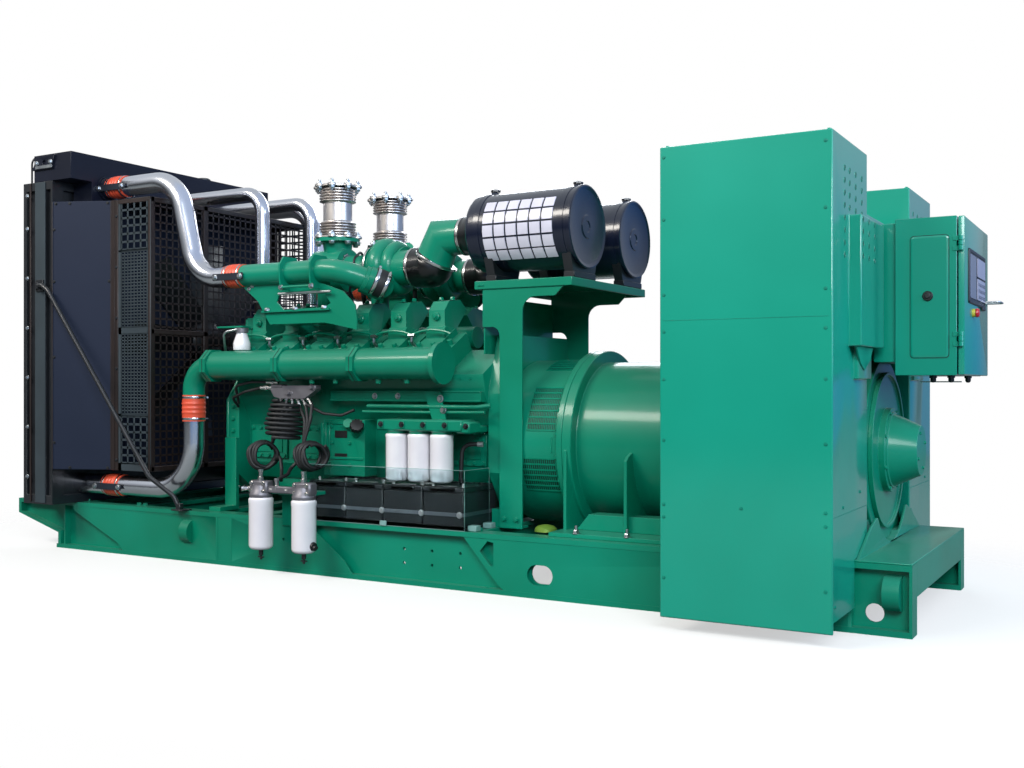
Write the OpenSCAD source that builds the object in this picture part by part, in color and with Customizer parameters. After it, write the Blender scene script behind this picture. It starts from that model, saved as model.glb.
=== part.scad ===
// Diesel generator set on a fabricated skid: V12 engine, radiator package,
// twin air cleaners, alternator with side cabinets and a hinged control door.
// Millimetres, +Z up, +X toward the alternator end, -Y the battery side.
// The origin is on the floor, in the middle of the anchor holes.

/* [Skid] */
// Length of the skid between the ends of its top flanges
skid_len = 5440; // [4800:10:6000]
// Width over the outer edges of the two rails
skid_wid = 1326; // [1100:2:1500]
// Height of the rails, floor to top flange
rail_h = 288; // [200:2:360]
// Width of each rail flange
flange_w = 100; // [80:2:140]
// Thickness of the rail flanges
flange_t = 24; // [10:1:30]
// Thickness of the rail web
web_t = 12; // [8:1:16]
// Length of the sloped nose at the radiator end
nose_len = 375; // [250:5:500]
// Diameter of the anchor holes in the bottom flanges
anchor_d = 22; // [16:1:30]
// Half spacing of the outer anchor holes along the skid
anchor_x = 2250; // [1900:10:2300]
// Distance of the anchor holes from the centre plane
anchor_y = 640; // [600:1:650]
// Half spacing of the inner anchor holes
anchor_xi = 750; // [600:10:900]
// Thickness of the deck plate over the free end
deck_t = 8; // [6:1:12]
// Thickness of the cover plates let in between the flange edges
cover_t = 8; // [5:1:12]
// Middle of the shackle bar near the radiator
lift_xa = -1235; // [-1400:5:-1100]
// Distance of the other shackle bar from the alternator end of the skid
lift_in = 77; // [60:1:170]
// Height of the shackle bars
lift_z = 170; // [150:5:180]
// Length of each shackle bar along the skid
lift_len = 66; // [50:2:80]
// Diameter of the four shackle bars
lift_boss_d = 140; // [100:2:150]

/* [Radiator] */
// Width over the radiator side channels
rad_wid = 1690; // [1500:10:1900]
// Top of the radiator core frame
rad_top = 2225; // [2000:5:2400]
// Radiator end of the core frame
rad_x0 = -2430; // [-2600:5:-2300]
// Engine side of the core frame
rad_x1 = -2165; // [-2250:5:-2100]
// Height of the header tank on the core
tank_h = 160; // [120:5:220]
// Radiator end of the header tank
tank_x0 = -2330; // [-2420:5:-2250]
// Front of the header tank overhang
tank_x1 = -2000; // [-2100:5:-1900]
// Diameter of the eyes in the lifting brackets of the header tank
eye_d = 30; // [16:2:40]
// Front of the tapered fan shroud
shroud_x1 = -1832; // [-1900:2:-1780]
// Width over the fan guard
guard_wid = 1388; // [1200:4:1600]
// Front of the fan guard
guard_x1 = -1500; // [-1600:5:-1400]
// Bottom of the fan guard
guard_z0 = 500; // [400:5:600]
// Drop from the top of the core to the top of the fan guard
guard_drop = 127; // [100:1:250]
// Diameter of the fan
fan_d = 1240; // [1000:10:1300]
// Height of the fan centre
fan_z = 1290; // [1100:5:1400]

/* [Engine] */
// Height of the crankshaft and alternator axis
axis_z = 709; // [650:1:780]
// Front of the gear housing
gear_x0 = -1130; // [-1200:5:-1080]
// Back of the gear housing, front of the crankcase
gear_x1 = -1045; // [-1080:5:-1045]
// Top of the thermostat housing
thermo_z = 1400; // [1300:5:1500]
// Spacing of the six cylinders of a bank
bore_pitch = 245; // [235:1:260]
// Position of the first cylinder of each bank
cyl_x0 = -925; // [-930:5:-850]
// Length of each rocker cover along the engine
cover_len = 98; // [80:2:140]
// Lean of each bank from upright
bank_a = 30; // [20:1:45]
// Distance of the bank's reference point from the centre plane
bank_y = 390; // [340:5:430]
// Height of the bank's reference point
bank_z = 1130; // [1050:5:1200]
// Length of one cylinder head
head_len = 230; // [200:2:234]
// Head width outboard of the bank's reference line
head_wo = 110; // [90:2:125]
// Head width inboard of the bank's reference line
head_wi = 150; // [120:2:170]
// Deck of the bank, along its axis from the reference point
head_v0 = -20; // [-40:2:0]
// Distance of each intake manifold from the centre plane
manifold_y = 620; // [560:5:680]
// Height of the intake manifolds
manifold_z = 1112; // [1000:2:1200]
// Outside diameter of the intake manifolds
manifold_d = 160; // [120:2:200]
// Top of the lower charge pipes, under the manifold elbows
lower_z1 = 930; // [880:5:960]
// Height of the lower charge pipes
low_pipe_z = 405; // [380:5:420]
// Distance of the charge-air tubes from the centre plane
charge_y = 580; // [540:5:640]
// Drop from the top of the core to the upper charge pipes' axes
top_pipe_drop = 27; // [0:1:60]
// Centre-line radius of the two bends of the charge pipes
s_bend = 220; // [160:5:260]
// Angle of the two bends of the charge pipes
s_turn = 75; // [60:1:85]
// Start of the inward bend of the charge-air tubes
tube_x1 = -310; // [-380:5:-280]
// Centre-line radius of that bend
tube_bend = 260; // [200:5:300]
// Angle of that bend
tube_turn = 50; // [40:1:60]
// Dip of the plane of that bend below the level
tube_dip = 30; // [0:1:45]
// Height of the green charge-air tubes
charge_z = 1615; // [1500:5:1700]
// Outside diameter of the charge-air pipework
pipe_d = 122; // [100:2:180]
// Distance of the exhaust outlets from the centre plane
exhaust_y = 250; // [200:2:300]
// Position of the exhaust outlets along the set
exhaust_x = -483; // [-600:1:-400]
// Height of the turbocharger shafts
turbo_z = 1650; // [1600:5:1700]
// Height of the bellows foot
bellows_z0 = 1830; // [1750:5:1900]
// Height of the bellows top flange face
bellows_z1 = 2130; // [2000:5:2200]
// Bore of the exhaust bellows
bellows_bore = 128; // [100:2:150]
// Bolt circle of the exhaust flanges
exhaust_pcd = 200; // [160:2:240]
// Diameter of the exhaust flange bolt holes
exhaust_hole_d = 14; // [10:1:18]

/* [Air cleaners] */
// Distance of each air cleaner from the centre plane
cleaner_y = 288; // [250:2:330]
// Height of the air cleaner axes
cleaner_z = 1785; // [1700:5:1850]
// Radius of the air cleaner shells
cleaner_r = 203; // [160:1:240]
// Inlet end of the air cleaners
cleaner_x0 = 533; // [450:1:600]
// Far end of the air cleaners
cleaner_x1 = 1116; // [1000:1:1200]
// Half width of the air cleaner shelf
shelf_hw = 445; // [400:5:500]
// Top of the air cleaner shelf
shelf_z = 1528; // [1450:2:1600]

/* [Alternator] */
// Radius of the alternator barrel
barrel_r = 410; // [360:2:460]
// Drive end of the barrel
barrel_x0 = 1060; // [1000:5:1100]
// Free end of the barrel
barrel_x1 = 2478; // [2400:2:2550]
// Near face of each side cabinet, from the centre plane
cab_y1 = 1018; // [950:2:1100]
// Inner face of each side cabinet, from the centre plane
cab_y0 = 453; // [400:2:500]
// Drive end of the cabinets
cab_x0 = 1799; // [1700:1:1850]
// Free end of the cabinets
cab_x1 = 2499; // [2450:1:2550]
// Bottom of the cabinets
cab_z0 = 58; // [40:1:80]
// Top of the cabinets
cab_z1 = 1970; // [1800:5:2100]

/* [Control box] */
// Half width of the control box
ctl_hw = 352; // [300:1:400]
// Back of the control box
ctl_x0 = 2592; // [2560:1:2620]
// Front of the control box body, behind the door
ctl_x1 = 2838; // [2780:1:2860]
// Bottom of the control box
ctl_z0 = 1043; // [1000:1:1100]
// Top of the control box
ctl_z1 = 1703; // [1600:1:1800]
// Thickness of the control door
door_t = 24; // [16:1:30]
// Gap between the control door and the box behind it
door_gap = 6; // [5:1:10]
// Diameter of the hinge pin
hinge_pin_d = 10; // [8:1:14]
// Running clearance of the hinge pin in its knuckles, on the radius
hinge_clear = 0.1; // [0.05:0.05:0.3]
// Height of the door handle
handle_z = 1376; // [1200:2:1500]
// Outer face of the door handle
handle_x1 = 2945; // [2920:1:2960]
// Diameter of the hinge knuckles
knuckle_d = 20; // [16:1:24]

/* [Show] */
// Which sub-component to draw

/* [Hidden] */
$fn = 64;
hx = skid_len / 2;
lift_xb = hx - lift_in;
tank_top = rad_top + tank_h;
guard_z1 = rad_top - guard_drop;
top_pipe_z = rad_top - top_pipe_drop;
hy = skid_wid / 2;
web_y = hy - flange_w / 2;
rad_hw = rad_wid / 2;
guard_hw = guard_wid / 2;
guard_x0 = shroud_x1;
// the turbochargers' feet stand between the second and third rocker covers
foot_x = cyl_x0 + 1.5 * bore_pitch;
green = "#1f9a7e";
dark = "#20242c";
grey = "#8a9096";
steel = "#c9ccd0";
// hinge axis of the control door
hinge_x = ctl_x1 + door_gap + door_t / 2;
hinge_y = -ctl_hw - 12;
hinge_zs = [ctl_z0 + 120, ctl_z0 + 515];
// a point of the near cylinder bank: across it, then along its cylinder axis
function bank(u, v) = [-bank_y + u * cos(bank_a) - v * sin(bank_a), bank_z + u * sin(bank_a) + v * cos(bank_a)];
// where a bend of a given radius and angle ends, run then rise
function run(r, a) = r * sin(a);
function rise(r, a) = r * (1 - cos(a));
tube_end = [tube_x1 + run(tube_bend, tube_turn), -charge_y + rise(tube_bend, tube_turn) * cos(tube_dip),
  charge_z - rise(tube_bend, tube_turn) * sin(tube_dip)];
tube_dir = [cos(tube_turn), sin(tube_turn) * cos(tube_dip), -sin(tube_turn) * sin(tube_dip)];

// Box from opposite corners.
module box(x0, x1, y0, y1, z0, z1) {
  translate([min(x0, x1), min(y0, y1), min(z0, z1)])
    cube([abs(x1 - x0), abs(y1 - y0), abs(z1 - z0)]);
}

// Cylinders along each axis, from one end to the other.
module rod_x(x0, x1, y, z, r, r2 = -1) {
  translate([x0, y, z]) rotate([0, 90, 0]) cylinder(h = x1 - x0, r1 = r, r2 = r2 < 0 ? r : r2);
}
module rod_y(y0, y1, x, z, r) {
  translate([x, y0, z]) rotate([-90, 0, 0]) cylinder(h = y1 - y0, r = r);
}
module rod_z(z0, z1, x, y, r, r2 = -1) {
  translate([x, y, z0]) cylinder(h = z1 - z0, r1 = r, r2 = r2 < 0 ? r : r2);
}

// Round bar between any two points.
module strut(a, b, r) {
  v = b - a;
  translate(a) rotate([0, acos(v[2] / norm(v)), atan2(v[1], v[0])]) cylinder(h = norm(v), r = r);
}

// Side profile in the X-Z plane, pushed from y0 to y1.
module side_plate(y0, y1, pts) {
  translate([0, y1, 0]) rotate([90, 0, 0]) linear_extrude(y1 - y0) polygon(pts);
}

// End profile in the Y-Z plane, pushed from x0 to x1.
module end_plate(x0, x1, pts) {
  translate([x0, 0, 0]) rotate([90, 0, 90]) linear_extrude(x1 - x0) polygon(pts);
}

// Pipe bend: starts at the origin heading along +X and turns toward +Z.
module bend(turn, r, angle) {
  translate([0, 0, turn]) rotate([90, 0, 0]) rotate([0, 0, -90])
    rotate_extrude(angle = angle) translate([turn, 0]) circle(r = r);
}

// Pieces on both sides of the centre plane.
module both() { children(); mirror([0, 1, 0]) children(); }
module far() { mirror([0, 1, 0]) children(); }

// ---------------------------------------------------------------- skid

module skid_rail() {
  nose = [[-hx, rail_h], [-hx, rail_h - 90], [-hx + nose_len, 94], [-hx + nose_len, 0]];
  y_out = -hy + 2;
  color(green) difference() {
    union() {
      // web with the sloped nose
      side_plate(-web_y - web_t / 2, -web_y + web_t / 2, concat(nose, [[hx, 0], [hx, rail_h]]));
      // flanges
      box(-hx, hx, -hy, -hy + flange_w, rail_h - flange_t, rail_h);
      box(-hx + nose_len - 14, hx, -hy, -hy + flange_w, 0, flange_t);
      // sloped flange of the nose
      side_plate(-hy, -hy + flange_w, concat(nose, [[-hx + nose_len + flange_t, 0],
        [-hx + nose_len + flange_t, 106], [-hx + flange_t, rail_h - 82], [-hx + flange_t, rail_h]]));
      // end plate over the whole section
      box(hx - 12, hx, -hy, -hy + flange_w, 0, rail_h);
      // cover plate from the sloped gusset at the radiator end to the one under the batteries
      side_plate(y_out, y_out + cover_t, [[-hx + 515, rail_h - flange_t], [-hx + 515, rail_h - 50],
        [-1821, 66], [-1770, flange_t], [-60, flange_t], [-115, 92], [-326, 244], [-326, rail_h - flange_t]]);
      // cover plate on to the cabinet, with its brace and the obround opening
      side_plate(y_out, y_out + cover_t, [[629, rail_h - flange_t], [629, 258], [817, 47], [850, flange_t],
        [hx - 250, flange_t], [hx - 250, rail_h - flange_t]]);
      // joint strips between the cover plates, and stiffeners in the open bays
      for (x = [-905, -1010]) box(x - 8, x + 8, -hy, y_out, flange_t, rail_h - flange_t);
      for (x = [-hx + 430, hx - 244])
        box(x - 6, x + 6, -hy + 4, -web_y, flange_t / 2, rail_h - flange_t / 2);
      // shackle bars, lying along the skid and let into the web
      for (x = [lift_xa, lift_xb])
        rod_x(x - lift_len / 2, x + lift_len / 2, -web_y - 22, lift_z, lift_boss_d / 2);
    }
    // triangular windows in the two gussets
    side_plate(y_out - 1, y_out + cover_t + 1, [[-236, 232], [-159, 128], [-126, 170], [-200, 236]]);
    side_plate(y_out - 1, y_out + cover_t + 1, [[716, 200], [780, 130], [794, 138], [794, 246], [760, 252]]);
    // obround and round openings
    for (dx = [-20, 20]) rod_y(-hy, -web_y + web_t, 1047 + dx, 110, 48);
    box(1027, 1067, -hy, -web_y + web_t, 62, 158);
    rod_y(-web_y - web_t, -web_y + web_t, hx - 154, 82, 38);
    rod_y(-hy, -web_y + web_t, -523, 174, 8);
    // small round holes in pairs
    for (x = [241, 411, 579]) for (z = [102, 173])
      rod_y(-web_y - web_t, -web_y + web_t, x, z, 8);
    // anchor holes
    for (x = [-anchor_x, -anchor_xi, anchor_xi, anchor_x]) rod_z(-1, flange_t + 1, x, -anchor_y, anchor_d / 2);
  }
}
module skid_rail_near() { skid_rail(); }
module skid_rail_far() { far() skid_rail(); }

module cross_beams() {
  iy = web_y - web_t / 2;
  fy = hy - flange_w;
  color(green) for (x = [-hx + 520, -1700, -1110, -750, -250, 250, 640, 1200, 1750, hx - 420]) {
    box(x - 5, x + 5, -iy, iy, 60, rail_h - flange_t);
    box(x - 45, x + 45, -iy, iy, 60, 72);
    box(x - 45, x + 45, -fy, fy, rail_h - flange_t, rail_h);
  }
}

module end_deck() {
  z = rail_h + deck_t;
  xb = barrel_x1;
  color(green) difference() {
    union() {
      // deck plate and end channel at the alternator end
      box(xb - 133, hx, -hy, hy, rail_h, z);
      box(hx - 12, hx, -(hy - flange_w), hy - flange_w, 150, rail_h);
      box(hx - 70, hx - 12, -(hy - flange_w), hy - flange_w, 150, 162);
      // pedestal under the free end of the alternator, with its flared foot
      end_plate(xb - 98, xb - 8, [[-430, z], [-330, 420], [330, 420], [430, z]]);
      end_plate(xb + 22, xb + 34, [[-650, z], [-430, 400], [-330, 430], [330, 430], [430, 400], [650, z]]);
      end_plate(xb - 8, xb + 22, [[-420, z], [-400, z + 30], [400, z + 30], [420, z]]);
    }
    rod_x(xb - 200, xb + 200, 0, axis_z, barrel_r + 0.2);
  }
}

// ------------------------------------------------------------ radiator

module radiator_core() {
  color(dark) {
    box(rad_x0 + 20, rad_x1 - 20, -rad_hw + 50, rad_hw - 50, rail_h, rad_top);
    both() {
      box(rad_x0, rad_x0 + 30, -rad_hw, -rad_hw + 80, rail_h, rad_top);
      box(-2316, -2225, -rad_hw, -rad_hw + 60, rail_h, rad_top);
      box(rad_x1 - 16, rad_x1, -rad_hw, -rad_hw + 80, rail_h, rad_top);
      box(rad_x0, rad_x1, -rad_hw + 30, -rad_hw + 60, rail_h, rad_top);
    }
    box(rad_x0, rad_x1, -rad_hw, rad_hw, rail_h, rail_h + 52);
    box(rad_x0, rad_x1, -rad_hw, rad_hw, rad_top - 50, rad_top);
  }
}

module header_tank() {
  color(dark) {
    box(tank_x0, tank_x1, -rad_hw, rad_hw, rad_top, tank_top);
    // outlet box under the overhang
    box(rad_x1, tank_x1, -guard_hw, guard_hw, guard_z1, rad_top);
    // lifting brackets at the tank ends
    both() difference() {
      side_plate(-rad_hw - 12, -rad_hw, [[tank_x0 - 5, rad_top + 70], [tank_x0 + 40, tank_top - 10],
        [tank_x0 + 200, tank_top - 10], [tank_x0 + 170, rad_top + 70]]);
      rod_y(-rad_hw - 20, -rad_hw + 20, tank_x0 + 105, tank_top - 50, eye_d / 2);
    }
    rod_z(tank_top, tank_top + 5, tank_x1 - 165, 380, 40);
  }
}

module fan_shroud() {
  color(dark) translate([0, 0, guard_z0]) linear_extrude(guard_z1 - guard_z0)
    polygon([[rad_x1, -rad_hw], [shroud_x1, -guard_hw], [shroud_x1, guard_hw], [rad_x1, rad_hw]]);
}

// One folded-mesh side of the guard: posts, rails and the sheet.
module guard_side() {
  color(dark) {
    box(guard_x0, guard_x0 + 62, -guard_hw, -guard_hw + 30, guard_z0, guard_z1);
    box(guard_x0 + 62, guard_x1 - 25, -guard_hw, -guard_hw + 3, guard_z0, guard_z1);
    for (z = [guard_z0, guard_z1 - 30])
      box(guard_x0 + 62, guard_x1 - 25, -guard_hw, -guard_hw + 25, z, z + 30);
  }
}
module guard_near() { guard_side(); }
module guard_far() { far() guard_side(); }

module guard_front() {
  color(dark) {
    both() {
      box(guard_x1 - 25, guard_x1, -guard_hw, -guard_hw + 25, guard_z0, guard_z1);
      box(guard_x1 - 25, guard_x1, -275, -240, guard_z0, guard_z1);
    }
    for (z = [guard_z0, guard_z1 - 30])
      box(guard_x1 - 25, guard_x1, -guard_hw, guard_hw, z, z + 30);
    // roof and sill sheets over and under the fan
    for (z = [guard_z0 + 2, guard_z1 - 5])
      box(guard_x0, guard_x1 - 20, -guard_hw + 30, guard_hw - 30, z, z + 3);
    difference() {
      box(guard_x1 - 8, guard_x1 - 4, -guard_hw, guard_hw, guard_z0, guard_z1);
      rod_x(guard_x1 - 30, guard_x1 + 30, 0, fan_z, 190);
    }
  }
}

module fan() {
  color("#15171b") {
    rod_x(shroud_x1, shroud_x1 + 132, 0, fan_z, 110);
    for (k = [0:7]) translate([shroud_x1 + 77, 0, fan_z]) rotate([k * 45, 0, 0])
      rotate([0, 0, 35]) translate([-6, -70, 90]) cube([12, 140, fan_d / 2 - 110]);
    rod_x(shroud_x1 + 132, gear_x0, 0, fan_z, 45);
  }
}

module stay() {
  pts = [[-2245, -rad_hw - 35, 1600], [-1440, -760, 480], [-1275, -700, 370], [-1270, -692, rail_h + 10]];
  color(dark) {
    for (k = [0:2]) strut(pts[k], pts[k + 1], 15);
    for (k = [1, 2]) translate(pts[k]) sphere(r = 16.5);
    box(-2300, -2230, -rad_hw - 50, -rad_hw, 1560, 1640);
    box(-1320, -1230, -715, -hy + 30, rail_h, rail_h + 12);
  }
}
module stays() { both() stay(); }

// -------------------------------------------------------------- engine

module engine_block() {
  d0 = bank(-head_wo, head_v0);
  d1 = bank(head_wi, head_v0);
  prof = [[-300, 470], [-360, 560], [-360, 800], [-440, 940], d0, d1, [-140, 1150]];
  color(green) {
    // crankcase with the decks of the two banks
    both() end_plate(gear_x1, 620, concat(prof, [[0, 1150], [0, 470]]));
    // oil sump
    both() end_plate(-900, 520, [[0, 310], [-200, 310], [-290, 380], [-290, 471], [0, 471]]);
    // front gear housing with the thermostat housing
    both() end_plate(gear_x0, gear_x1, [[0, 400], [-330, 400], [-450, 490], [-450, 920], [-330, 1080],
      [-290, thermo_z], [0, thermo_z]]);
    // rear cover over the flywheel
    both() end_plate(620, 700, [[0, 380], [-300, 380], [-420, 560], [-420, 960], [-330, 1260], [0, 1260]]);
    // damper on the nose of the crankshaft
    rod_x(gear_x0 - 62, gear_x0, 0, axis_z, 200);
    rod_x(gear_x0 - 80, gear_x0 - 62, 0, axis_z, 90);
    // control housing with its filler neck, cable rail and fuel block bracket on the near side
    box(-410, -130, -460, -350, 512, 815);
    box(-424, -410, -470, -350, 595, 800);
    strut([-250, -420, 770], [-215, -500, 800], 26);
    box(-350, 610, -478, -400, 917, 972);
    box(-560, -430, -562, -440, 955, 985);
    // bracket of the coolant filter, reaching round the first rocker cover
    box(-1075, -990, -595, -295, 1325, 1335);
    box(-1075, -880, -595, -530, 1325, 1335);
  }
}

module engine_feet() {
  color(green) both() {
    // front feet on the gear housing, rear feet on the flywheel cover
    box(gear_x0, gear_x1, -600, -452, rail_h, rail_h + 24);
    box(gear_x0, gear_x1, -474, -450, rail_h + 24, 700);
    box(640, 700, -420, -330, rail_h, 379.7);
  }
}

module head() {
  // cylinder head along the bank's own axes, with the intake port boss outboard
  translate([0, -bank_y, bank_z]) rotate([bank_a, 0, 0]) {
    box(-head_len / 2, head_len / 2, -head_wo, head_wi, head_v0 + 0.2, 84);
    box(-66, 66, -head_wo + 14, head_wi - 8, 84, 118);
    rod_z(84, 112, -90, -60, 14);
    rod_z(84, 112, 90, 20, 14);
  }
  // upright rocker cover, house-shaped from the end
  end_plate(-cover_len / 2, cover_len / 2, [[-410, 1235], [-410, 1393], [-368, 1442], [-263, 1455],
    [-195, 1405], [-302, 1293], [-302, 1260]]);
  end_plate(-cover_len / 2 - 8, cover_len / 2 + 8, [[-424, 1232], [-424, 1296], [-408, 1310], [-300, 1300],
    [-290, 1262]]);
}
module cylinder_heads() {
  color(green) both() for (k = [0:5]) translate([cyl_x0 + k * bore_pitch, 0, 0]) head();
}

module exhaust_manifold() {
  color(green) both() {
    rod_x(cyl_x0 - 60, cyl_x0 + 5 * bore_pitch + 60, -100, 1262, 60);
    box(foot_x - 60, foot_x + 60, -130, -70, 1262, 1330);
    for (k = [0:5]) box(cyl_x0 + k * bore_pitch - 30, cyl_x0 + k * bore_pitch + 30, -130, -70, 1150, 1240);
  }
}

module manifold() {
  r = manifold_d / 2;
  color(green) {
    rod_x(-1090, 456, -manifold_y, manifold_z, r);
    // eight-sided coupling flanges and the round end cover
    for (x = [-1100, -575, -65]) translate([x, -manifold_y, manifold_z]) rotate([0, 90, 0]) rotate([0, 0, 22.5])
      cylinder(h = 44, r = r + 16, $fn = 8);
    rod_x(456, 482, -manifold_y, manifold_z, r + 26);
    // ports up to the heads
    for (k = [0:5]) translate([cyl_x0 + k * bore_pitch, -bank_y, bank_z]) rotate([bank_a, 0, 0])
      box(-45, 45, -200, -head_wo, 30, 100);
    // elbow to the lower charge pipe
    translate([-1090, -manifold_y, manifold_z]) rotate([0, 180, 0]) bend(140, pipe_d / 2, 90);
    rod_z(lower_z1, manifold_z - 140, -1230, -manifold_y, pipe_d / 2);
  }
}
module manifold_near() { manifold(); }
module manifold_far() { far() manifold(); }

module charge_tube() {
  r = pipe_d / 2;
  zb = charge_z - r - 1;
  color(green) {
    rod_x(-960, tube_x1, -charge_y, charge_z, r);
    // bend toward the compressor
    translate([tube_x1, -charge_y, charge_z]) rotate([-90 - tube_dip, 0, 0]) bend(tube_bend, r, tube_turn);
    // two rib plates round the tube, joined by a tie bar
    for (x = [-556, -346]) end_plate(x, x + 10, [[-charge_y - 72, charge_z - 96], [-charge_y - 84, charge_z - 30],
      [-charge_y - 84, charge_z + 40], [-charge_y - 50, charge_z + 84], [-charge_y + 50, charge_z + 84],
      [-charge_y + 84, charge_z + 40], [-charge_y + 84, charge_z - 96]]);
    rod_x(-556, -336, -charge_y - 70, charge_z - 84, 7);
    // wing bracket under the tube, with its window, and the flange that rests on the rocker covers
    difference() {
      side_plate(-charge_y - 5, -charge_y + 5, [[-888, zb + 30], [-888, zb], [-776, 1468], [-735, 1400],
        [-689, 1337], [-300, 1337], [-87, 1294], [-87, 1350], [-100, 1425], [-180, 1500], [-335, zb],
        [-335, zb + 30]]);
      side_plate(-charge_y - 6, -charge_y + 6, [[-616, 1508], [-300, 1490], [-262, 1440], [-300, 1420],
        [-590, 1414], [-640, 1460]]);
    }
    box(-735, -262, -charge_y - 24, -charge_y, 1402, 1412);
    box(-689, -300, -charge_y, -410, 1337, 1347);
  }
}
module charge_tube_near() { charge_tube(); }
module charge_tube_far() { far() charge_tube(); }

// Straight run with a weld bead at each end; a bead laps over the bend beside it.
module welded(a, b, r, lap_a = 1, lap_b = 1) {
  v = b - a;
  n = norm(v);
  translate(a) rotate([0, acos(v[2] / n), atan2(v[1], v[0])]) {
    cylinder(h = n, r = r);
    translate([0, 0, -lap_a]) cylinder(h = 5 + lap_a, r = r + 2);
    translate([0, 0, n - 5]) cylinder(h = 5 + lap_b, r = r + 2);
  }
}

module charge_pipe() {
  drop = top_pipe_z - charge_z;
  leg = (drop - 2 * rise(s_bend, s_turn)) / sin(s_turn);
  x1 = -960 - 2 * run(s_bend, s_turn) - leg * cos(s_turn) - 150;
  p1 = [x1 + run(s_bend, s_turn), -charge_y, top_pipe_z - rise(s_bend, s_turn)];
  p2 = p1 + [leg * cos(s_turn), 0, -leg * sin(s_turn)];
  color(steel) {
    welded([tank_x1, -charge_y, top_pipe_z], [x1, -charge_y, top_pipe_z], pipe_d / 2, 0, 1);
    translate([x1, -charge_y, top_pipe_z]) rotate([180, 0, 0]) bend(s_bend, pipe_d / 2, s_turn);
    welded(p1, p2, pipe_d / 2);
    translate([-1110, -charge_y, charge_z]) mirror([1, 0, 0]) bend(s_bend, pipe_d / 2, s_turn);
    welded([-1110, -charge_y, charge_z], [-960, -charge_y, charge_z], pipe_d / 2, 1, 0);
  }
}
module charge_pipe_near() { charge_pipe(); }
module charge_pipe_far() { far() charge_pipe(); }

module lower_pipe() {
  color(steel) {
    rod_x(rad_x1 - 20, -1230 - 270, -manifold_y, low_pipe_z, pipe_d / 2);
    translate([-1500, -manifold_y, low_pipe_z]) bend(270, pipe_d / 2, 90);
    rod_z(low_pipe_z + 270, lower_z1, -1230, -manifold_y, pipe_d / 2);
  }
}
module lower_pipe_near() { lower_pipe(); }
module lower_pipe_far() { far() lower_pipe(); }

module coolant_pipes() {
  z = rad_top - 75;
  color(steel) both() {
    rod_x(tank_x1, -1075 - 130, -221, z, 42);
    translate([-1205, -221, z]) rotate([180, 0, 0]) bend(130, 42, 90);
    rod_z(thermo_z, z - 130, -1075, -221, 42);
  }
}

module turbo() {
  y = -exhaust_y;
  color(green) {
    // turbine housing and outlet under the bellows
    rod_z(turbo_z, bellows_z0 - 20, exhaust_x, y, 60, 85);
    rod_z(bellows_z0 - 20, bellows_z0, exhaust_x, y, 125);
    rod_x(foot_x - 50, -400, y, turbo_z, 120);
    rod_x(foot_x - 62, foot_x - 50, y, turbo_z, 95);
    // centre housing and compressor with its inlet
    rod_x(-400, -200, y, turbo_z, 80);
    rod_x(-200, -70, y, turbo_z, 118);
    translate([-130, y, turbo_z]) rotate([0, 90, 0]) rotate_extrude() translate([112, 0]) circle(r = 50);
    rod_x(-70, -14, y, turbo_z, 90, 100);
    rod_x(-14, 0, y, turbo_z, 108);
    rod_x(-215, -200, y, turbo_z, 128);
    // outlet toward the charge tube
    strut(tube_end, tube_end + 130 * tube_dir, 74);
    strut(tube_end + 110 * tube_dir, [-120, y - 80, turbo_z - 65], 60);
    // foot on the exhaust manifold
    rod_z(1390, turbo_z, foot_x, y, 55);
    box(foot_x - 60, foot_x + 60, y - 50, -70, 1340, 1400);
    box(foot_x - 60, foot_x + 60, -130, -70, 1330, 1400);
  }
}
module turbochargers() { both() turbo(); }

module bellows() {
  color(steel) difference() {
    union() {
      rod_z(bellows_z0, bellows_z1, exhaust_x, -exhaust_y, 75);
      for (z = [0:4]) {
        rod_z(bellows_z0 + 15 + z * 16, bellows_z0 + 25 + z * 16, exhaust_x, -exhaust_y, 90);
        rod_z(bellows_z1 - 25 - z * 16, bellows_z1 - 15 - z * 16, exhaust_x, -exhaust_y, 90);
      }
      rod_z(bellows_z0, bellows_z0 + 12, exhaust_x, -exhaust_y, 125);
      rod_z(bellows_z1 - 12, bellows_z1, exhaust_x, -exhaust_y, 125);
    }
    rod_z(bellows_z0 - 1, bellows_z1 + 1, exhaust_x, -exhaust_y, bellows_bore / 2);
    for (k = [0:7]) translate([exhaust_x, -exhaust_y, 0]) rotate([0, 0, 22.5 + 45 * k])
      rod_z(bellows_z1 - 13, bellows_z1 + 1, exhaust_pcd / 2, 0, exhaust_hole_d / 2);
  }
}
module exhaust_bellows() { both() bellows(); }

module air_duct() {
  x1 = 325;
  r = 100;
  a = 58;
  leg = (cleaner_z - turbo_z - 2 * rise(r, a)) / sin(a);
  p1 = [x1 - run(r, a), -cleaner_y, cleaner_z - rise(r, a)];
  p2 = p1 - [leg * cos(a), 0, leg * sin(a)];
  color("#17191c") {
    welded([cleaner_x0, -cleaner_y, cleaner_z], [x1, -cleaner_y, cleaner_z], 92, 0, 1);
    translate([x1, -cleaner_y, cleaner_z]) rotate([0, 180, 0]) bend(r, 92, a);
    welded(p1, p2, 92);
    translate([p2[0] - run(r, a), -cleaner_y, turbo_z]) bend(r, 92, a);
    welded([p2[0] - run(r, a), -cleaner_y, turbo_z], [0, -cleaner_y, turbo_z], 92, 1, 0);
  }
}
module air_ducts() { both() air_duct(); }

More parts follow.
